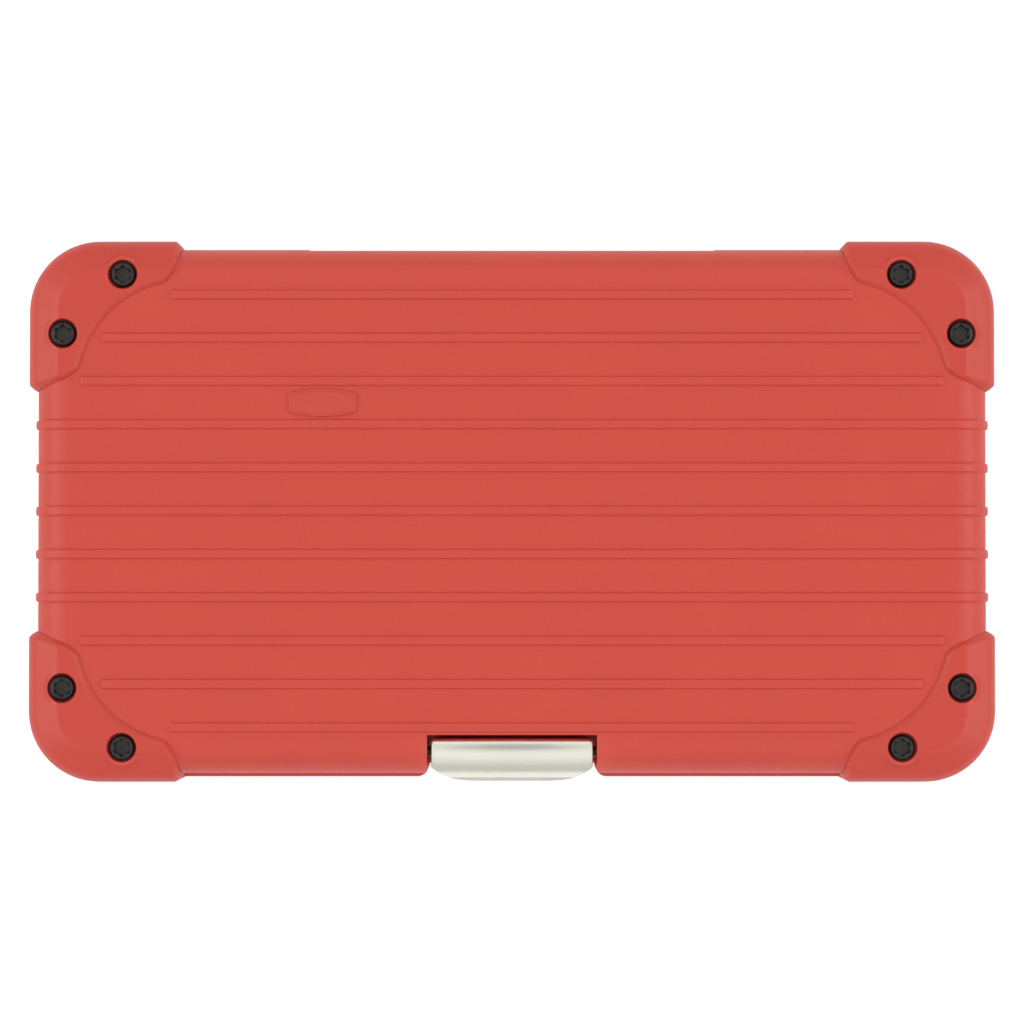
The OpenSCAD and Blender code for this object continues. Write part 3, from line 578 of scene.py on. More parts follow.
def outline(hx, hy, r, steps=CORNER_STEPS):
    """Plan of a rounded rectangle."""
    points = []
    for sx, sy, start in ((1, 1, 0), (-1, 1, 90), (-1, -1, 180), (1, -1, 270)):
        points += arc_points((sx * (hx - r), sy * (hy - r)), r, start, start + 90, steps)
    return points


FLANGE_OUT = 1.3
FLANGE_H = 2.5
# The flange stops this far from the middle at the back, for the hinges, and at the sides, for the ribs
HINGE_ZONE = 51.0
SIDE_ZONE = 30.0


def flange():
    """The rim's flange: along the front, and at the back beside the hinge zone."""
    z0, z1 = RIM_Z, SPLIT_Z + FLANGE_H
    wide = grown(SHELL, FLANGE_OUT)
    ring = prism(outline(wide.hx, wide.hy, wide.r), z0, z1, "z")
    rounded(ring, 0.45, 3)
    side, back = SHELL.hx - 1, SHELL.hy - 1
    return cut(ring, block((-HINGE_ZONE, back, z0 - 1), (HINGE_ZONE, back + 10, z1 + 1)),
               block((side, -SIDE_ZONE, z0 - 1), (side + 9, SIDE_ZONE, z1 + 1)),
               block((-side - 9, -SIDE_ZONE, z0 - 1), (-side, SIDE_ZONE, z1 + 1)))


SCREW_POINTS = [(sx * x, sy * y) for sx, sy in CORNERS for x, y in SCREWS]
# A screw's seat and the guard's cup round it, and the boss inside the shell with its insert's bore
SEAT_Z = SPLIT_Z + 20.4
CUP_Z = SPLIT_Z + 19.6
CUP_R = 4.6
BOSS_Z = SPLIT_Z + 11
BOSS_R = 5.7
INSERT_R = 2.27
INSERT_L = 9


def half_shell(tub):
    """Outside, inside, bosses and screw pockets that the lid and the base share, as the lid's half."""
    shell = pillow_solid(SHELL, RIM_Z, rib_relief)
    join(shell, flange())
    inside = pillow_solid(grown(SHELL, -WALL), SPLIT_Z - 3)
    bosses = [rod((x, y, 0), BOSS_R, BOSS_Z, ABOVE) for x, y in SCREW_POINTS]
    cut(inside, *bosses, tub)
    cut(shell, inside)
    pockets = [rod((x, y, 0), CUP_R + 0.1, CUP_Z - 0.1, ABOVE) for x, y in SCREW_POINTS]
    bores = [rod((x, y, 0), INSERT_R, BOSS_Z - 1, BOSS_Z + INSERT_L, sides=24) for x, y in SCREW_POINTS]
    return cut(shell, *pockets, *bores)


KNUCKLE_R = 1.7
PIN_R = 0.85
PIN_HALF = 20
KNUCKLE_L = 8.0
KNUCKLE_GAP = 0.3
KNUCKLE_CLEAR = 0.35
KNUCKLE_STEP = KNUCKLE_L + KNUCKLE_GAP
HINGE_X = 38.0
# The shells' back edges are relieved above and below the hinge axis, at this slope
WEDGE = math.tan(math.radians(52))
WEDGE_DEPTH = 6.0


def hinge_cuts(shell, own, other):
    """Relieves the back edge, then adds this half's knuckles and clears the other half's."""
    apex, rise = HINGE[1] - 0.15, WEDGE_DEPTH * WEDGE
    far = apex + WEDGE_DEPTH
    cut(shell, prism([(apex, SPLIT_Z), (far, SPLIT_Z + rise), (far, SPLIT_Z - rise)], -150, 150))
    centre = (0, HINGE[1], SPLIT_Z)
    half, room = KNUCKLE_L / 2, KNUCKLE_L / 2 + KNUCKLE_GAP
    for side in (-HINGE_X, HINGE_X):
        join(shell, *[rod(centre, KNUCKLE_R, side + o - half, side + o + half, "x", 40, 0.3) for o in own])
        cut(shell, *[rod(centre, KNUCKLE_R + KNUCKLE_CLEAR, side + o - room, side + o + room, "x", 40)
                     for o in other])
        cut(shell, rod(centre, PIN_R, side - PIN_HALF, side + PIN_HALF, "x", 32))


RECESS_X = 21.0
RECESS_BACK = -55.4
RECESS_FRONT = -61.5
MOUTH_R = 2.8


def recess_trough():
    """The lid's recess behind the latch, from its sloping back wall forwards."""
    side = [(RECESS_BACK + 0.5, ABOVE), (RECESS_BACK, 46), (RECESS_BACK, 35.1), (RECESS_BACK - 0.5, 34.1)]
    side += [(RECESS_FRONT + 0.5, 30.4), (RECESS_FRONT, 29.4), (RECESS_FRONT, 0)]
    side += [(-BEYOND, 0), (-BEYOND, ABOVE)]
    return prism(side, -RECESS_X, RECESS_X)


def recess_mouth():
    """What opens the recess out at the front of the wall with rounded corners."""
    wall_y = -SHELL.hy - FLANGE_OUT
    right = arc_points((RECESS_X + MOUTH_R, wall_y + MOUTH_R), MOUTH_R, 180, 270, 8)
    plan = right + [(RECESS_X + MOUTH_R, wall_y - 4), (-RECESS_X - MOUTH_R, wall_y - 4)]
    plan += [(-x, y) for x, y in reversed(right)]
    return prism(plan, 0, ABOVE, "z")


def lid_tub():
    """The block round the recess that the lid's hollow leaves out, so that the recess has walls."""
    back, front = RECESS_BACK + 2, RECESS_FRONT + 2
    side = [(back, ABOVE), (back, 33.5), (front, 29), (front, 0), (-BEYOND, 0), (-BEYOND, ABOVE)]
    return prism(side, -24.4, 24.4)


PLAQUE_CENTRE = (-46.9, 26.7)


def plaque():
    """Blank barrel-shaped plaque raised between two ribs, with a slightly sunken face."""
    (cx, cy), half_l, half_mid, half_end = PLAQUE_CENTRE, 8.35, 3.425, 2.375
    ts = np.linspace(-1, 1, 17)
    top = [(cx + half_l * t, cy + half_end + (half_mid - half_end) * (1 - t * t)) for t in ts]
    plan = top + [(x, 2 * cy - y) for x, y in reversed(top)]
    z = SPLIT_Z + SHELL.up
    body = rounded(prism(plan, z - 1, z + 0.55, "z"), 0.28, 3, 50)
    inset = [((x - cx) * 0.93 + cx, (y - cy) * 0.84 + cy) for x, y in plan]
    return cut(body, rounded(prism(inset, z + 0.38, z + 2, "z"), 0.1, 2, 50))


def make_lid():
    shell = half_shell(lid_tub())
    join(shell, plaque())
    cut(shell, recess_trough(), recess_mouth())
    hinge_cuts(shell, [0], [-KNUCKLE_STEP, KNUCKLE_STEP])
    cut(shell, rod((0, LATCH[1], LATCH[2]), 1.27, -24, 24, "x", 32))
    place(smooth(shell), "lid_shell_moulding", "lid", RED, "case_red", "lid_shell")


BASE_RECESS_Y = -62.0
BASE_RECESS_Z = 9.0


def make_base():
    """Made as a lid half and turned over, so heights here are mirrored in the parting plane."""
    def over(z):
        return 2 * SPLIT_Z - z

    y = BASE_RECESS_Y
    shell = half_shell(block((-23.2, -BEYOND, 0), (23.2, y + 2, over(BASE_RECESS_Z - 2))))
    notch = block((-RECESS_X, -BEYOND, 0), (RECESS_X, y, over(BASE_RECESS_Z)))
    cut(shell, rounded(notch, 0.6, 3), recess_mouth())
    # The catch: how far it stands out at each height
    catch = [(-0.1, 16.5), (1.1, 17.15), (1.4, 17.6), (1.4, 18.4), (1.1, 18.85), (-0.1, 19.5)]
    join(shell, prism([(y - out, over(z)) for out, z in catch], -13, 13))
    hinge_cuts(shell, [-KNUCKLE_STEP, KNUCKLE_STEP], [0])
    base = mirrored(shell, base=True)
    bpy.data.objects.remove(shell)
    place(base, "base_shell_moulding", "case", RED, "case_red", "base_shell")


make_lid()
make_base()


# ---- corner guards

def rim_distance(shape, x, y):
    """Distance inwards from the shape's plan outline, for a point of the right-hand, hinge-side corner."""
    qx, qy = x - (shape.hx - shape.r), y - (shape.hy - shape.r)
    return shape.r - (math.hypot(max(qx, 0), max(qy, 0)) + min(max(qx, qy), 0))


# A guard's top is flat, falls in a facet from a crease, and ends in a rounded edge
CREASE_IN = 7.6
FACET_IN = 2.6
FACET_DROP = 2.9
FACET_TILT = math.atan2(FACET_DROP, CREASE_IN - FACET_IN)
GUARD_ROUND = FACET_IN / (1 - math.sin(FACET_TILT))
GUARD_EDGE_DROP = FACET_DROP + GUARD_ROUND * math.cos(FACET_TILT)


def shell_height(shape, distance):
    """Height of a pillow shape's top above the parting plane, a distance in from its outline."""
    d = min(max(distance, 0.0), shape.edge)
    return shape.up - shape.edge + math.sqrt(shape.edge ** 2 - (shape.edge - d) ** 2)


def guard_height(distance):
    """Height of a guard's top: flat, then a facet from the crease outwards, then a rounded edge."""
    if distance >= CREASE_IN:
        return GUARD.up
    if distance >= FACET_IN:
        return GUARD.up - (CREASE_IN - distance) * math.tan(FACET_TILT)
    turn = math.asin(min(1.0, math.sin(FACET_TILT) + (FACET_IN - max(distance, 0.0)) / GUARD_ROUND))
    return GUARD.up - FACET_DROP - GUARD_ROUND * (math.cos(FACET_TILT) - math.cos(turn))


def outline_walk(shape, share):
    """A point on the outline, from the guard's hinge-side end, share 0, to its other end, 1."""
    run_x = shape.hx - shape.r - GUARD_END_X
    run_y = shape.hy - shape.r - GUARD_END_Y
    turn = shape.r * math.pi / 2
    at = share * (run_x + turn + run_y)
    if at < run_x:
        return GUARD_END_X + at, shape.hy
    if at < run_x + turn:
        a = math.pi / 2 - (at - run_x) / shape.r
        return (shape.hx - shape.r + shape.r * math.cos(a),
                shape.hy - shape.r + shape.r * math.sin(a))
    return shape.hx, shape.hy - shape.r - (at - run_x - turn)


# Mesh lines across a guard's bevelled border, and the guard's length round the corner
BORDER = [0.0, 0.1, 0.25, 0.45, 0.7, 0.95, 1.2, 1.4, 1.6, 1.8, 2.0, 2.4, 3.2, 4.0]
GUARD_RUN = 68.0
GUARD_CORNER_R = 4.0
GROOVE_HALF = 0.2
GROOVE_DEPTH = 0.07


def border_rise(s, band=1.8):
    """How much of a guard's full thickness stands at a distance s in from its border."""
    t = min(s / band, 1.0)
    return 0.1 + 0.9 * math.sin(t * math.pi / 2)


def crease_depth(x, y, distance):
    """Depth of the fine groove along the crease and across the corner of the facet."""
    groove = math.exp(-(((distance - CREASE_IN) / GROOVE_HALF) ** 2))
    corner = (GUARD.hx - GUARD.r, GUARD.hy - GUARD.r)
    across = abs((x - corner[0]) - (y - corner[1])) / math.sqrt(2)
    if x > corner[0] and FACET_IN < distance < CREASE_IN:
        groove = max(groove, math.exp(-((across / GROOVE_HALF) ** 2)))
    return GROOVE_DEPTH * groove


def guard_surface(shape, share, along, fall):
    """A point on a pillow shape: along runs from the guard's arc to the outline, fall is down the wall."""
    a = math.radians(90 - GUARD_END_DEG - share * (90 - 2 * GUARD_END_DEG))
    start = GUARD_CENTRE + GUARD_ARC * np.array([math.cos(a), math.sin(a)])
    end = np.array(outline_walk(shape, share))
    x, y = start + (end - start) * along
    d = rim_distance(shape, x, y)
    if shape is GUARD:
        z = guard_height(d) if along < 1 else GUARD.up - GUARD_EDGE_DROP
    else:
        z = shell_height(shape, d) if along < 1 else shape.up - shape.edge
    return np.array([x, y, SPLIT_Z + z - fall]), d


def round_corner(a, b):
    """Moves a point near the corner of two borders, a and b in from them, so that the corner is round."""
    u, v = GUARD_CORNER_R - a, GUARD_CORNER_R - b
    if min(u, v) <= 0:
        return a, b
    shrink = max(u, v) / math.hypot(u, v)
    return GUARD_CORNER_R - u * shrink, GUARD_CORNER_R - v * shrink


def guard_solid():
    """The right-hand, hinge-side lid guard: a cap with a bevelled border, two screw cups and their holes."""
    skin = grown(SHELL, 0.03)
    ends = [s / GUARD_RUN for s in BORDER]
    mitre = around([0.5], [d / GUARD_RUN for d in (0.0, 0.15, 0.3, 0.5, 0.8)])
    shares = ends + list(np.linspace(0.06, 0.94, 40)) + mitre + [1 - e for e in ends]
    shares = sorted_unique(shares, 0, 1, 0.0006)
    wall = GUARD.up - GUARD_EDGE_DROP - GUARD_FOOT
    falls = [0.0, 1.5, 4.0, 7.0, wall - 1.0, wall - 0.6, wall - 0.3, wall - 0.1, wall]
    outer, inner = [], []
    for share in shares:
        depth = guard_surface(GUARD, share, 0, 0)[1]
        from_end = min(share, 1 - share) * GUARD_RUN
        room = min(1.0, (depth - 8.9) / (BORDER[-1] + 0.1))
        ins = [b * room for b in BORDER]
        ins += [depth - CREASE_IN - d for d in (0.7, 0.35, 0.18, 0, -0.18, -0.35, -0.7)]
        ins += [depth - d for d in (6.0, 4.6, 3.4, 2.85)]
        turns = np.linspace(FACET_TILT, math.pi / 2, 12)[:-1]
        ins += [depth - FACET_IN + GUARD_ROUND * (math.sin(a) - math.sin(FACET_TILT)) for a in turns]
        row_out, row_in = [], []
        for s in ins + [depth]:
            rise = border_rise(min(from_end, s))
            end, inwards = round_corner(from_end, s)
            bent, along = (end if share < 0.5 else GUARD_RUN - end) / GUARD_RUN, inwards / depth
            g, d = guard_surface(GUARD, bent, along, 0)
            p = guard_surface(skin, bent, along, 0)[0]
            g[2] -= crease_depth(g[0], g[1], d) * ease((min(from_end, s) - 1.5) / 1.0)
            row_out.append(p + (g - p) * rise)
            row_in.append(p)
        for fall in falls[1:]:
            g = guard_surface(GUARD, share, 1, fall)[0]
            p = guard_surface(skin, share, 1, fall * (SHELL.up - SHELL.edge - GUARD_FOOT) / wall)[0]
            foot = border_rise(wall - fall, 0.6)
            row_out.append(p + (g - p) * min(border_rise(from_end), foot))
            row_in.append(p)
        outer.append(row_out)
        inner.append(row_in)
    guard = thick_sheet(outer, inner)
    top = GUARD.up + SPLIT_Z
    well = [(0, SEAT_Z), (3.6, SEAT_Z), (3.6, top - 0.35), (3.75, top - 0.1), (4.1, top + 0.25)]
    well += [(4.1, top + 2)]
    for x, y in SCREWS:
        join(guard, rod((x, y, 0), CUP_R, CUP_Z, top - 0.9))
        cut(guard, lathe(well + [(0, top + 2)], (x, y, 0), sides=56),
            rod((x, y, 0), 1.6, CUP_Z - 1, SEAT_Z + 1, sides=24))
    return guard


def make_guards():
    pattern = guard_solid()
    for base in (False, True):
        for sx, sy in CORNERS:
            half, body = ("base", "case") if base else ("lid", "lid")
            node = f"{half}_guard_{'back' if sy > 0 else 'front'}_{'right' if sx > 0 else 'left'}"
            piece = mirrored(pattern, x=sx < 0, y=sy < 0, base=base)
            place(piece, node + "_cap", body, GUARD_RED, "guard_red", node)
    bpy.data.objects.remove(pattern)


make_guards()


# ---- screws and latch

SCREW_HEAD_R = 3.1
SCREW_HEAD_H = 1.9
SCREW_HEAD_EDGE = 0.75
SHANK_R = 1.45
THREAD_ROOT_R = 1.2
THREAD_PITCH = 0.45
THREAD_TURNS = 12
LOBE_R = 2.3
LOBE_DEPTH = 0.62


def merged(pieces):
    """Joins separate closed pieces into one object."""
    verts, faces = [], []
    for piece in pieces:
        start = len(verts)
        verts += [v.co / MM for v in piece.data.vertices]
        faces += [[start + v for v in p.vertices] for p in piece.data.polygons]
        bpy.data.objects.remove(piece)
    return mesh_object(verts, faces)


def guard_screw(x, y):
    """Domed button-head screw with a six-lobed recess and a grooved shank."""
    top = SEAT_Z + SCREW_HEAD_H
    profile = [(0, top)] + [(r, top - 0.05 * r) for r in (0.8, 1.6, 2.35)]
    edge = (SCREW_HEAD_R - SCREW_HEAD_EDGE, top - 0.12 - SCREW_HEAD_EDGE)
    profile += arc_points(edge, SCREW_HEAD_EDGE, 90, 0, 6)
    profile += [(SCREW_HEAD_R, SEAT_Z + 0.1), (SCREW_HEAD_R - 0.1, SEAT_Z), (SHANK_R, SEAT_Z)]
    for i in range(THREAD_TURNS):
        z = SEAT_Z - 1.2 - i * THREAD_PITCH
        profile += [(SHANK_R, z), (SHANK_R, z - 0.08), (THREAD_ROOT_R, z - 0.24), (THREAD_ROOT_R, z - 0.32)]
    screw = lathe(profile + [(THREAD_ROOT_R, SEAT_Z - 6.7), (0, SEAT_Z - 6.8)], (x, y, 0), sides=48)
    lobes = []
    for a in np.radians(np.arange(0, 360, 5)):
        r = LOBE_R - LOBE_DEPTH * (0.5 - 0.5 * math.cos(6 * a))
        lobes.append((x + r * math.sin(a), y + r * math.cos(a)))
    dimple = lathe([(0, SEAT_Z + 0.2), (1.5, SEAT_Z + 0.62), (0, SEAT_Z + 0.7)], (x, y, 0), sides=24)
    return cut(screw, prism(lobes, SEAT_Z + 0.6, SEAT_Z + 4, "z"), dimple)


def make_screws():
    screws = merged([guard_screw(x, y) for x, y in SCREW_POINTS])
    for half, body in (("base", "case"), ("lid", "lid")):
        place(mirrored(screws, base=half == "base"), half + "_guard_button_screws", body, BLACK_OXIDE,
              "screw_black", half + "_guard_screws")
    bpy.data.objects.remove(screws)


LATCH_LOW, LATCH_HIGH = low_high("latch")
# Where the latch's front curve reaches its top, and the back of the lever below its barrel
LATCH_APEX = -58.4
LATCH_BACK = -62.4
BOW_DEPTH = 3.7
# The bevel at the latch's ends: distance from the end, and how far its outline is drawn in there
LATCH_BEVEL = [(0.0, 0.3), (0.08, 0.17), (0.75, 0.0)]
LATCH_EDGE = 0.2
LATCH_PIN_R = 1.3


def latch_side(inset):
    """The lever's outline seen from its end, drawn in all round by a bevel's inset."""
    y0, y1 = LATCH_LOW[1] + inset, LATCH_HIGH[1] - inset
    z0, z1 = LATCH_LOW[2], LATCH_HIGH[2] - inset
    r = LATCH_APEX - y0
    side = arc_points((LATCH_APEX, z1 - r), r, 90, 180, 26)
    side += [(y0, z0 + 0.9), (y0 + 0.26, z0 + 0.26), (y0 + 0.9, z0)]
    back = LATCH_BACK - inset
    side += [(back - 0.5, z0), (back - 0.15, z0 + 0.15), (back, z0 + 0.5), (back, 36.0), (back + 0.5, 36.9)]
    side += [(y1 - 2.4, 36.9), (y1 - 0.9, 37.6), (y1 - 0.2, 38.8), (y1, 40.0), (y1, z1 - 1.35)]
    side += [(y1 - 0.06, z1 - 0.9), (y1 - 0.24, z1 - 0.5), (y1 - 0.52, z1 - 0.24)]
    return side + [(y1 - 0.95, z1 - 0.11), (y1 - 1.45, z1 - 0.04)]


def make_latch():
    """An extruded lever with bevelled ends and a bowed front, hollow behind, with a bead inside."""
    front, foot, half = LATCH_LOW[1], LATCH_LOW[2], LATCH_HIGH[0]
    sections = [(x - half, inset) for x, inset in LATCH_BEVEL]
    sections += [(half - x, inset) for x, inset in LATCH_BEVEL[::-1]]
    body = loft([[(x, y, z) for y, z in latch_side(inset)] for x, inset in sections])
    bow = [(half * t, front + BOW_DEPTH * abs(t) ** 5) for t in np.linspace(-1.1, 1.1, 67)]
    combine(body, [prism(bow + [(30, -50), (-30, -50)], 0, ABOVE, "z")], "INTERSECT")
    rounded(body, LATCH_EDGE, 3, 60)
    hollow = rounded(block((-15, -65.4, foot - 3), (15, -60.4, LATCH[2] - 6.2)), 1.2, 4)
    cut(body, hollow, rod((0, LATCH[1], LATCH[2]), LATCH_PIN_R, -30, 30, "x", 32))
    bead = [(-65.5, 14.2), (-64.2, 14.7), (-63.7, 15.1), (-63.6, 15.5), (-63.7, 15.9), (-64.2, 16.3)]
    join(body, prism(bead + [(-65.5, 16.8)], -12, 12))
    place(smooth(body), "latch_lever", "latch", ALUMINIUM, "latch_metal", "latch")


make_screws()
make_latch()


# ---- foam

FOAM_LOW, FOAM_HIGH = low_high("lid_foam")
FOAM_R = 8.0
FOAM_PITCH = 9.5
FOAM_WAVE = 2.7
FOAM_EDGE = 1.6
# Width of the plain border, and the width over which the waves rise behind it
FOAM_BORDER = 3.5
FOAM_RISE = 3.0


def into_plan(x, y):
    """Pulls a point in the corner of the pad's box in to the pad's rounded corner."""
    core_x, core_y = FOAM_HIGH[0] - FOAM_R, FOAM_HIGH[1] - FOAM_R
    qx, qy = abs(x) - core_x, abs(y) - core_y
    if qx <= 0 or qy <= 0:
        return x, y
    scale = max(qx, qy) / math.hypot(qx, qy)
    return math.copysign(core_x + qx * scale, x), math.copysign(core_y + qy * scale, y)


def foam_height(x, y):
    """How far the pad's soft face stands back from its lowest level."""
    d = rim_distance(Pillow(FOAM_HIGH[0], FOAM_HIGH[1], FOAM_R), abs(x), abs(y))
    wave = 0.5 - 0.25 * (math.cos(2 * math.pi * x / FOAM_PITCH) + math.cos(2 * math.pi * y / FOAM_PITCH))
    edge = 1 - math.sqrt(max(0.0, 1 - (1 - min(d, FOAM_EDGE) / FOAM_EDGE) ** 2))
    rough = 0.12 * noise.noise(Vector((x, y, 0)) * 0.35) * ease(d / 2)
    return 0.15 + FOAM_EDGE * edge + ease((d - FOAM_BORDER) / FOAM_RISE) * FOAM_WAVE * wave + rough


def make_foam():
    """Ether foam pad under the lid: soft pyramids in rows, with a plain rounded border."""
    cx, cy = FOAM_HIGH[0], FOAM_HIGH[1]
    plan = [[into_plan(x, y) for x in np.linspace(-cx, cx, 199)] for y in np.linspace(-cy, cy, 99)]
    face = [[(x, y, FOAM_LOW[2] + foam_height(x, y)) for x, y in row] for row in plan]
    pad = thick_sheet(face, [[(x, y, FOAM_HIGH[2]) for x, y in row] for row in plan])
    place(smooth(pad, 60), "lid_foam_pad", "lid", FOAM, "foam_black", "lid_foam")


make_foam()


# ---- turned tools

FLUTE_SIDES = 144
KNURL_TEETH = 44
KNURL_DEPTH = 0.16
# Turns a lathe that stands on Z to lie along X
TURN_TO_X = Matrix(((0, 0, 1, 0), (1, 0, 0, 0), (0, 1, 0, 0), (0, 0, 0, 1)))


def dented(profile, centre, start, stop, fade, dip, sides, axis="x"):
    """A lathe drawn in by dip(angle) between start and stop, less so where it fades at their ends."""
    obj = lathe(profile, sides=sides)
    for v in obj.data.vertices:
        x, y, z = v.co / MM
        r = math.hypot(x, y)
        if start < z < stop and r > 3:
            scale = 1 - dip(math.atan2(y, x)) * ease((z - start) / fade) * ease((stop - z) / fade) / r
            v.co.x *= scale
            v.co.y *= scale
    if axis == "x":
        obj.data.transform(TURN_TO_X)
    obj.data.transform(Matrix.Translation(Vector(centre) * MM))
    return obj


def fluted(profile, lobes, depth, start, stop, centre):
    """A body along X with flutes."""
    def dip(angle):
        return depth * (0.5 - 0.5 * math.cos(lobes * angle)) ** 2
    return dented(profile, centre, start, stop, 4, dip, FLUTE_SIDES)


def fine(profile, step):
    """Puts extra points on a lathe profile so that no side is longer than step."""
    points = [profile[0]]
    for (r0, h0), (r1, h1) in zip(profile, profile[1:]):
        count = max(1, math.ceil(math.hypot(r1 - r0, h1 - h0) / step))
        points += [(r0 + (r1 - r0) * i / count, h0 + (h1 - h0) * i / count) for i in range(1, count + 1)]
    return points


def softened(profile, step=0.8, passes=6):
    """A lathe profile with its corners rounded off, its two ends on the axis kept."""
    points = np.array(fine(profile, step))
    for _ in range(passes):
        points[2:-2] = (points[1:-3] + 2 * points[2:-2] + points[3:-1]) / 4
    return [tuple(p) for p in points]


def grooves(profile, at, width=1.1, depth=0.35):
    """Cuts round grooves into a finely divided profile, at heights along it."""
    out = []
    for r, h in profile:
        dip = sum(math.exp(-(((h - a) / (width / 2)) ** 4)) for a in at)
        out.append((max(r - depth * dip, 0) if r > depth else r, h))
    return out


# The square drives and the squares that take them: across the flats, and their lengths
DRIVE_AF = 6.25
DRIVE_L = 9.5
SOCKET_AF = 6.4
SQUARE_DEPTH = 9.5
# Radius of the tools' round shanks
BAR_R = 4
# Radius of the female ends, and of their knurled bands
END_R = 6.0
BALL_HOLE_R = 1.15


def square(y, z, across, low, high):
    """Square bar along X."""
    half = across / 2
    return block((low, y - half, z - half), (high, y + half, z + half))


def drive_end(y, z, high):
    """Male square that ends at high along X, its four long edges turned down."""
    body = square(y, z, DRIVE_AF, high - DRIVE_L, high)
    combine(body, [rod((0, y, z), DRIVE_AF * 0.655, high - DRIVE_L - 1, high, "x")], "INTERSECT")
    return rounded(body, 0.25, 2, 40)


def female_square(x, y, z):
    """What cuts the square into a female end that starts at x."""
    return square(y, z, SOCKET_AF, x - 1, x + SQUARE_DEPTH)


def ball_hole(x, y, z):
    """What cuts the hole that a drive's ball sits in."""
    return rod((x, y, z), BALL_HOLE_R, -6, -1.2, "y", 24)


def hexagon(centre, across, start):
    """Plan of a hexagon with its first corner at an angle."""
    return arc_points(centre, across / math.sqrt(3), start, start + 300, 5)


def knurled(profile, centre, start, stop, axis="x"):
    """A turned body with a straight-knurled band."""
    def dip(angle):
        return KNURL_DEPTH * (0.5 - 0.5 * math.cos(KNURL_TEETH * angle))
    return dented(fine(profile, 1.2), centre, start, stop, 0.5, dip, KNURL_TEETH * 4, axis)


# Profile of a female end: chamfered mouth, knurled band, turned groove
END_BAND = [(0, 0), (END_R - 0.5, 0), (END_R, 0.5), (END_R, 9.2), (END_R - 0.35, 9.5), (END_R - 0.35, 10.3),
            (END_R, 10.6)]


def chromed(body, node):
    """Finishes a turned steel piece that lies in the tray."""
    place(smooth(body, 30), node + "_turned", "case", CHROME, "tool_chrome", node)


def shank_end(length):
    """Profile end of a round shank that a drive grows out of."""
    return [(BAR_R, length - 10.4), (3.4, length - 9.2), (0, length - 9.2)]


def make_extension(node, y, z):
    low, high = low_high(node)
    x, end = low[0], high[0]
    profile = END_BAND + [(END_R, 14), (BAR_R, 17)] + shank_end(end - x)
    body = knurled(profile, (x, y, z), 1.2, 8.6)
    join(body, drive_end(y, z, end))
    cut(body, female_square(x, y, z), ball_hole(end - 4, y, z))
    chromed(body, node)


def make_bit_holder():
    x = low_high("bit_holder")[0][0]
    y, z = middle("bit_holder")[1:]
    profile = END_BAND + [(END_R, 21.2), (5.4, 22), (5.4, 30), (5.1, 30.3), (5.1, 31.3), (5.4, 31.6)]
    body = knurled(profile + [(5.4, 39.5), (4.9, 40), (0, 40)], (x, y, z), 11.5, 20.5)
    cut(body, female_square(x, y, z), prism(hexagon((y, z), 6.5, 30), x + 25, x + 50),
        rod((x, y, z), 2.05, 21, 26, "x", 24))
    chromed(body, "bit_holder")


SOCKET_SIZES = [4, 5, 5.5, 6, 7, 8, 9, 10, 11, 12, 13, 14]


def socket_node(size):
    """The CAD node of a socket, from its size in millimetres."""
    return "socket_" + str(size).replace(".", "_") + "mm"


def nose_r(size):
    """Radius of a socket's nose, for its size."""
    return (1.28 * size + 1.6) / 2


def make_socket(size):
    """Hand socket: knurled drive end, neck, plain nose with a bevelled hexagon."""
    node = socket_node(size)
    x, y = middle(node)[:2]
    low, high = low_high(node)
    z, top, nose, h = low[2], high[2], nose_r(size), high[2] - low[2]
    profile = [(0, 0), (5.5, 0), (END_R, 0.5), (END_R, 1.2), (END_R, 6.4), (END_R, 7), (5.7, 7.25), (5.7, 8)]
    profile += [(END_R, 8.25), (END_R, 11), (nose, 13), (nose, h - 0.6), (nose - 0.5, h), (0, h)]
    body = knurled(profile, (x, y, z), 1.2, 6.6, "z")
    across = size + 0.1
    bell_r = across / math.sqrt(3) + 0.15
    bell = [(0, top - 0.5), (across / 2 - 0.1, top - 0.5), (bell_r, top + 0.02), (bell_r, top + 1)]
    bell += [(0, top + 1)]
    half = SOCKET_AF / 2
    cut(body, block((x - half, y - half, z - 1), (x + half, y + half, z + 9)),
        prism(hexagon((x, y), across, 0), z + 14, top + 1, "z"), lathe(bell, (x, y, 0), sides=48),
        rod((x, y, 0), min(size / 2 - 0.2, 3), z + 5, top - 2, sides=32))
    chromed(body, node)


def make_driver():
    x = low_high("driver_grip")[0][0]
    y, z = middle("driver_grip")[1:]
    profile = [(0, 0), (7, 0), (10.5, 1.2), (12.4, 4), (13, 10), (13, 52), (12.2, 60), (9.4, 72), (9, 80),
               (10.2, 88), (10, 91), (8.6, 93), (0, 93)]
    shaped = grooves(softened(profile, 0.7, 5), [4.8, 84.5, 87.5], 0.9, 0.4)
    grip = fluted(shaped, 6, 2.3, 7.5, 66, (x, y, z))
    cut(grip, rod((x, y, z), BAR_R + 0.03, 48, 99, "x", 48))
    place(smooth(grip, 40), "driver_grip_moulding", "case", DRIVER_RED, "driver_grip", "driver_grip")
    low, high = low_high("driver_shaft")
    start, end = low[0], high[0]
    profile = [(0, 0.3), (BAR_R, 0.3)] + shank_end(end - start)
    shaft = lathe(softened(profile, 0.5, 1), (start, y, z), "x")
    join(shaft, drive_end(y, z, end))
    cut(shaft, ball_hole(end - 4, y, z))
    chromed(shaft, "driver_shaft")


RATCHET_HEAD_R = 13.5
# From the drive's axis to the pawl's, along the handle
PAWL_DX = 12.5


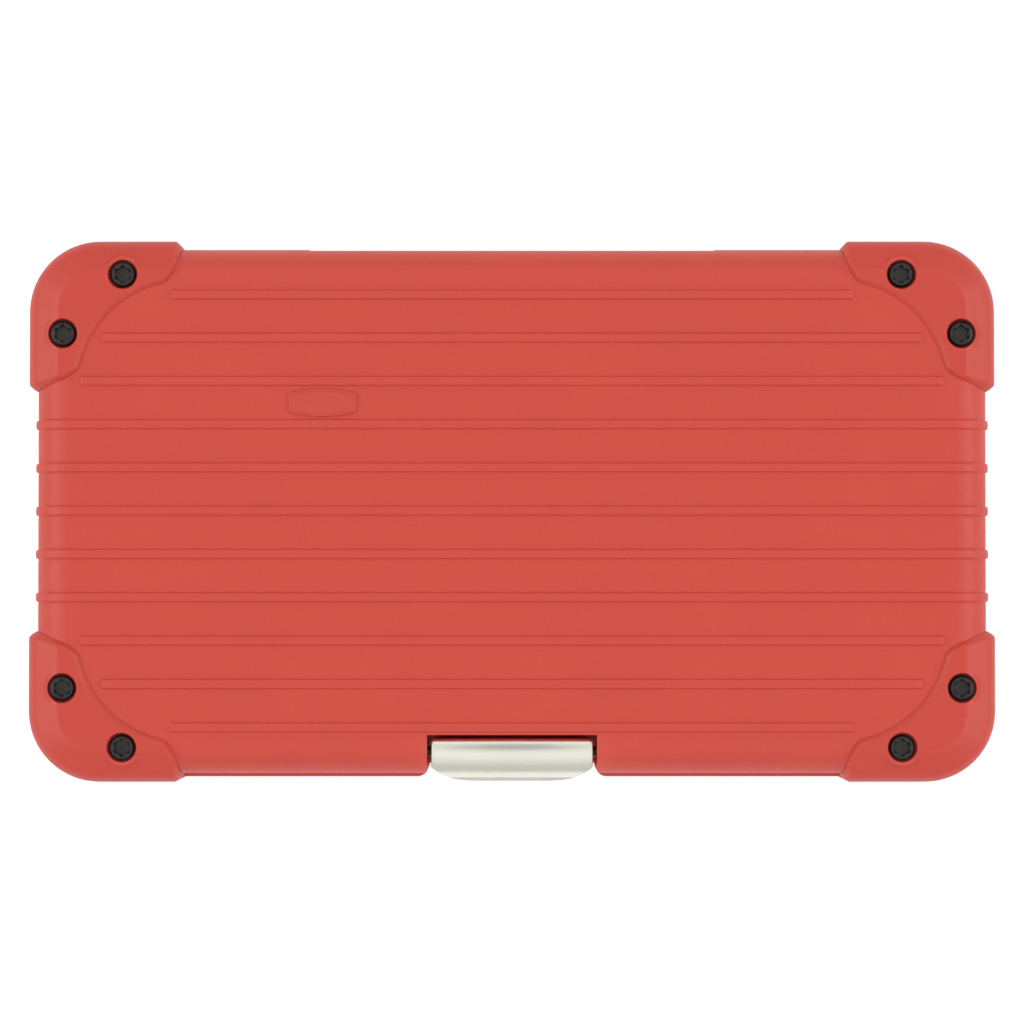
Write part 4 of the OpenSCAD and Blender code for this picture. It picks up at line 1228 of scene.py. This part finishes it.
def pear(x, y, r, r2, low, high):
    """The ratchet head's plan, a large and a small circle with their tangents, as a prism."""
    t = math.degrees(math.acos((r - r2) / PAWL_DX))
    plan = arc_points((x, y), r, t, 360 - t, 40) + arc_points((x + PAWL_DX, y), r2, -t, t, 28)
    return prism(plan, low, high, "z")


def make_ratchet_handle(x, y, z):
    """Pear-shaped head, hollow for the gear and the pawl, on a tapered neck."""
    low, high = low_high("ratchet_handle")
    floor, roof = low[2], 25.0
    body = rounded(pear(x, y, RATCHET_HEAD_R, 8.8, floor, high[2]), 0.9, 4, 50)
    neck = [(0, -76.5), (5.0, -76.5), (5.3, -72.5), (5.0, -66), (4.5, -58), (4.25, -50), (4.2, -41)]
    neck += [(4.2, 42), (0, 42)]
    join(body, lathe(softened(neck, 1.0, 3), (0, y, z), "x", 48))
    drive, pawl = (x, y, 0), (x + PAWL_DX, y, 0)
    cut(body, pear(x, y, 12.7, 8.0, floor - 1, floor + 1.25), rod(drive, 10.1, floor, roof),
        rod(pawl, 6.95, floor, roof), rod(drive, 4.7, floor, 40), rod(pawl, 2.3, floor, 40, sides=32))
    place(smooth(body, 30), "ratchet_handle_forging", "case", CHROME, "tool_chrome", "ratchet_handle")


def make_ratchet_grip(y, z):
    """Waisted, fluted sleeve with turned rings."""
    start = low_high("ratchet_grip")[0][0]
    profile = [(0, 0), (6.2, 0), (7.2, 1), (7.6, 6), (7.0, 16), (7.3, 30), (8.6, 52), (9.0, 70), (8.7, 79),
               (7.2, 83), (4.5, 84.5), (0, 84.5)]
    shaped = grooves(softened(profile, 0.6, 5), [3.2, 12.5, 15.5, 18.5, 76], 1.1, 0.45)
    grip = fluted(shaped, 8, 0.9, 24, 72, (start, y, z))
    cut(grip, rod((start, y, z), 4.25, -2, 80.2, "x", 48))
    place(smooth(grip, 40), "ratchet_grip_moulding", "case", GRIP_BLACK, "grip_black", "ratchet_grip")


def make_ratchet_lever(x, y):
    """Reversing lever round the pawl's axis at x: a plate with grip slots, an upturned tab and a stem."""
    top = low_high("ratchet_handle")[1][2]
    low, high = low_high("ratchet_lever")
    plate = arc_points((x, y), 6.4, 20, 340, 40) + arc_points((x + 12, y), 2.0, -80, 80, 12)
    lever = rounded(prism(plate, top + 0.2, top + 1.8, "z"), 0.35, 3, 50)
    tab = rounded(block((x + 10.4, y - 1.9, top + 1), (x + 12.2, y + 1.9, high[2])), 0.4, 3)
    join(lever, tab, rod((x, y, 0), 2.2, 25.1, 27.9, sides=40), rod((x, y, 0), 1.6, low[2], 25.6, sides=32))
    for slot_x in (x + 3.0, x + 4.5, x + 6.0, x + 7.5):
        cut(lever, block((slot_x, y - 2.0, top + 1.45), (slot_x + 0.7, y + 2.0, top + 3)))
    place(smooth(lever, 30), "ratchet_lever_pressing", "ratchet_lever", CHROME, "tool_chrome",
          "ratchet_lever")


def make_ratchet():
    x = low_high("ratchet_handle")[0][0] + RATCHET_HEAD_R
    y, z = middle("ratchet_handle")[1], middle("ratchet_grip")[2]
    make_ratchet_handle(x, y, z)
    make_ratchet_grip(y, z)
    make_ratchet_lever(x + PAWL_DX, y)


NUMBER_Y = -19.1
NUMBER_SIZE = 3.8
NUMBER_SUNK = 0.03


def size_numbers():
    """Raised size numbers on the tray's deck, one by each socket."""
    deck = low_high("tray_sockets")[1][2]
    pieces = []
    for size in SOCKET_SIZES:
        curve = bpy.data.curves.new("number", "FONT")
        curve.body = str(size)
        curve.size = NUMBER_SIZE * MM
        curve.extrude = 0.06 * MM
        curve.align_x, curve.align_y = "CENTER", "CENTER"
        text = linked("number", curve)
        graph = bpy.context.evaluated_depsgraph_get()
        mesh = bpy.data.meshes.new_from_object(text.evaluated_get(graph))
        bpy.data.objects.remove(text)
        at = Vector((middle(socket_node(size))[0], NUMBER_Y, deck - NUMBER_SUNK))
        mesh.transform(Matrix.Translation(at * MM))
        pieces.append(linked("number", mesh))
    place(merged(pieces), "tray_size_numbers", "case", NUMBER_WHITE, "tray_black")


make_extension("long_extension", -9, 16.5)
make_extension("short_extension", 14, 16.5)
make_bit_holder()
for socket_size in SOCKET_SIZES:
    make_socket(socket_size)
make_driver()
make_ratchet()
size_numbers()


# ---- tray

TRAY_HIGH = low_high("tray_tools")[1]
DECK_TOP = TRAY_HIGH[2]
DECK_T = 1.2
SKIRT_LOW = 13.2
TRAY_WALL = 1.1
TRAY_R = 13.0
LIP = 0.8
# Room under a tool, and beyond each end of it
UNDER = 0.1
END_ROOM = 1.5
BIT_XS = (32, 45, 58, 71, 84)
BIT_Y = -52


def slot_plan(x0, x1, y, width, r):
    """Plan of a rounded slot as a function of how far it's grown."""
    def plan(grow):
        points = outline((x1 - x0) / 2 + grow, width / 2 + grow, r + grow, 6)
        return [(px + (x0 + x1) / 2, py + y) for px, py in points]
    return plan


def tool_slot(node, width, r):
    """A pocket, as (plan, floor), as long as a tool and as deep as it lies."""
    low, high = low_high(node)
    return slot_plan(low[0] - END_ROOM, high[0] + END_ROOM, middle(node)[1], width, r), low[2] - UNDER


def round_plan(x, y, r):
    """Plan of a round pocket as a function of how far it's grown."""
    return lambda grow: arc_points((x, y), r + grow, 0, 352.5, 47)


def stacked(levels):
    """Closed solid through plans, each at its own height."""
    return loft([[(x, y, z) for x, y in plan] for plan, z in levels])


def pocket_cutter(plan, floor):
    """A pocket's inside, with a rounded floor and a rolled lip at the deck."""
    levels = [(plan(-0.9), floor), (plan(-0.28), floor + 0.22), (plan(0), floor + 0.8)]
    levels += [(plan(0), DECK_TOP - LIP), (plan(0.1), DECK_TOP - 0.5), (plan(0.35), DECK_TOP - 0.2)]
    levels += [(plan(LIP), DECK_TOP), (plan(LIP + 0.3), DECK_TOP + 0.2), (plan(LIP + 0.3), ABOVE)]
    return stacked(levels)


def pocket_wall(plan, floor):
    """A pocket's outside, under the deck."""
    outside = [(plan(TRAY_WALL - 0.8), floor - TRAY_WALL), (plan(TRAY_WALL), floor - TRAY_WALL + 0.8)]
    return stacked(outside + [(plan(TRAY_WALL), DECK_TOP - DECK_T / 2)])


def tool_pockets():
    """The long pockets as (plan, floor), each with a little room round its tool."""
    pockets = [tool_slot(node, 13.4, 2) for node in ("long_extension", "short_extension", "bit_holder")]
    driver_y = middle("driver_grip")[1]
    pockets += [tool_slot("driver_grip", 27.2, 5), (slot_plan(-20, 48, driver_y, 10, 2), 16.4)]
    low = low_high("ratchet_handle")[0]
    x, y = low[0] + RATCHET_HEAD_R, middle("ratchet_handle")[1]
    # The ratchet's head, its square, its neck and its grip
    pockets += [(round_plan(x, y, RATCHET_HEAD_R + 0.9), low[2] - UNDER), (round_plan(x, y, 6.5), 7.4)]
    pockets += [(slot_plan(x + 5, -36, y, 22, 2), 14.5), (slot_plan(-41, 49, y, 20, 3), 11.8)]
    # The universal joint's socket and the well that it swings in, and the gap for a finger
    pockets += [(slot_plan(50.5, 70, y, 13.4, 2), 14.9), (slot_plan(64, 91, y, 29, 8), 5.5)]
    return pockets + [(slot_plan(12, 32, 21, 70, 6), 10.4)]


def standing_cups():
    """Cups for the sockets and the bits, as two groups of (plan, floor) that don't cross each other."""
    cups, wide = [], []
    floor = low_high("socket_4mm")[0][2] - UNDER
    for size in SOCKET_SIZES:
        x, y = middle(socket_node(size))[:2]
        cups.append((round_plan(x, y, END_R + 0.5), floor))
        if nose_r(size) > END_R:
            wide.append((round_plan(x, y, nose_r(size) + 0.5), floor + 10.6))
    for x in BIT_XS:
        cups += [(round_plan(side * x, BIT_Y, 4.1), floor) for side in (-1, 1)]
    return cups, wide


def tray_plan(inset):
    """The tray's outline, drawn in all round."""
    return outline(TRAY_HIGH[0] - inset, TRAY_HIGH[1] - inset, TRAY_R - inset, 12)


def make_tray():
    """One moulding: deck and skirt, pocket walls under it, notches for the latch and the hinges."""
    tray = stacked([(tray_plan(0), SKIRT_LOW), (tray_plan(0), DECK_TOP - LIP),
                    (tray_plan(0.24), DECK_TOP - 0.24), (tray_plan(LIP), DECK_TOP)])
    cut(tray, prism(tray_plan(TRAY_WALL), 0, DECK_TOP - DECK_T, "z"))
    groups = standing_cups()
    pockets = tool_pockets()
    join(tray, *[merged([pocket_wall(*c) for c in group]) for group in groups])
    join(tray, *[pocket_wall(*p) for p in pockets])
    cut(tray, *[merged([pocket_cutter(*c) for c in group]) for group in groups])
    cut(tray, *[pocket_cutter(*p) for p in pockets])
    cut(tray, block((-26, -BEYOND, 0), (26, -58.6, 50)))
    corner = np.array([KNUCKLE_L, 4, 4])
    for x in [side + step * KNUCKLE_STEP for side in (-HINGE_X, HINGE_X) for step in (-1, 0, 1)]:
        knuckle = np.array([x, HINGE[1], SPLIT_Z])
        cut(tray, block(knuckle - corner, knuckle + corner))
    place(smooth(tray, 30), "tray_moulding", "case", TRAY_BLACK, "tray_black",
          "tray_tools", "tray_sockets", "tray_bits")


make_tray()


# ---- CAD nodes that are shown as they are

def finish_cad(material, *nodes):
    """Gives CAD nodes a material on their objects' slots."""
    for node in nodes:
        obj = bpy.data.objects[node]
        for slot in obj.material_slots:
            slot.link = "OBJECT"
            slot.material = material


finish_cad(BRASS, "lid_guard_inserts", "base_guard_inserts")
finish_cad(CHROME, "hinge_pins", "joint_socket_fork", "joint_drive_fork", "ratchet_cover",
           "ratchet_drive", "ratchet_button")
finish_cad(BLACK_OXIDE, "latch_pin")
finish_cad(PHOSPHATE, "ratchet_cover_screws", "ratchet_drive_ball", "ratchet_pawl", "ratchet_detent",
           "driver_ball", "long_extension_ball", "short_extension_ball", "joint_cross", "joint_ball",
           "bit_holder_magnet", "bits_phillips", "bits_slotted", "bits_hex", "bits_torx")


# ---- stage

FLOOR_HALF = 4000
# How much the floor adds to its own light where the camera sees it, so that it comes out white
FLOOR_GLOW = 0.5
DOME_STRENGTH = 0.77
# The dome's grey from straight down, 0, to straight up, 1
DOME = [(0.4, 0.8), (0.6, 1.0), (0.85, 1.25), (0.95, 1.2), (0.975, 0.9), (0.99, 0.42)]
# Metres and watts
SOFTBOX_POWER = 7.0
SOFTBOX_SIZE = (0.8, 1.6)
SOFTBOX_X = 1.3
SOFTBOX_Z = 0.85


def make_floor():
    """A white floor without an edge in sight."""
    corners = [(sx * FLOOR_HALF, sy * FLOOR_HALF, 0) for sx, sy in CORNERS]
    floor = mesh_object(corners, [[0, 2, 3, 1]], "floor")
    n = Nodes("floor_white")
    tint = n.ramp(n.noise(3, 2), [(0.3, (0.93, 0.93, 0.93)), (0.7, (0.96, 0.96, 0.96))])
    n.link(tint, n.shader, "Base Color")
    n.link(tint, n.shader, "Emission Color")
    n.link(n.range(n.add("LightPath").outputs["Is Camera Ray"], 0, FLOOR_GLOW), n.shader, "Emission Strength")
    constants(n.shader, {"Roughness": 0.9, "Specular IOR Level": 0.1})
    floor.data.materials.append(n.material)


def make_dome():
    """Soft light from all round, darker straight above so that flat metal shows a dark band."""
    world = bpy.data.worlds.new("studio")
    bpy.context.scene.world = world
    world.use_nodes = True
    tree = world.node_tree
    background = tree.nodes["Background"]
    coords = tree.nodes.new("ShaderNodeTexCoord")
    split = tree.nodes.new("ShaderNodeSeparateXYZ")
    ramp = tree.nodes.new("ShaderNodeValToRGB")
    tree.links.new(coords.outputs["Generated"], split.inputs["Vector"])
    tree.links.new(split.outputs["Z"], ramp.inputs["Fac"])
    tree.links.new(ramp.outputs["Color"], background.inputs["Color"])
    elements = ramp.color_ramp.elements
    elements[0].position, elements[0].color = 0.0, (0.72, 0.72, 0.72, 1)
    elements[1].position, elements[1].color = 1.0, (0.4, 0.39, 0.38, 1)
    for at, level in DOME:
        element = elements.new(at)
        element.color = (level, level, level, 1)
    background.inputs["Strength"].default_value = DOME_STRENGTH


def make_softboxes():
    """A large area light at either end of the case."""
    for side in (-1, 1):
        data = bpy.data.lights.new("softbox", "AREA")
        data.shape = "RECTANGLE"
        data.size, data.size_y = SOFTBOX_SIZE
        data.energy = SOFTBOX_POWER
        light = linked("softbox", data)
        light.location = (side * SOFTBOX_X, 0, SOFTBOX_Z)
        light.rotation_euler = (0, side * math.atan2(SOFTBOX_X, SOFTBOX_Z), 0)


make_floor()
make_dome()
make_softboxes()
scene = bpy.context.scene
scene.view_settings.view_transform = "Standard"
scene.view_settings.look = "None"
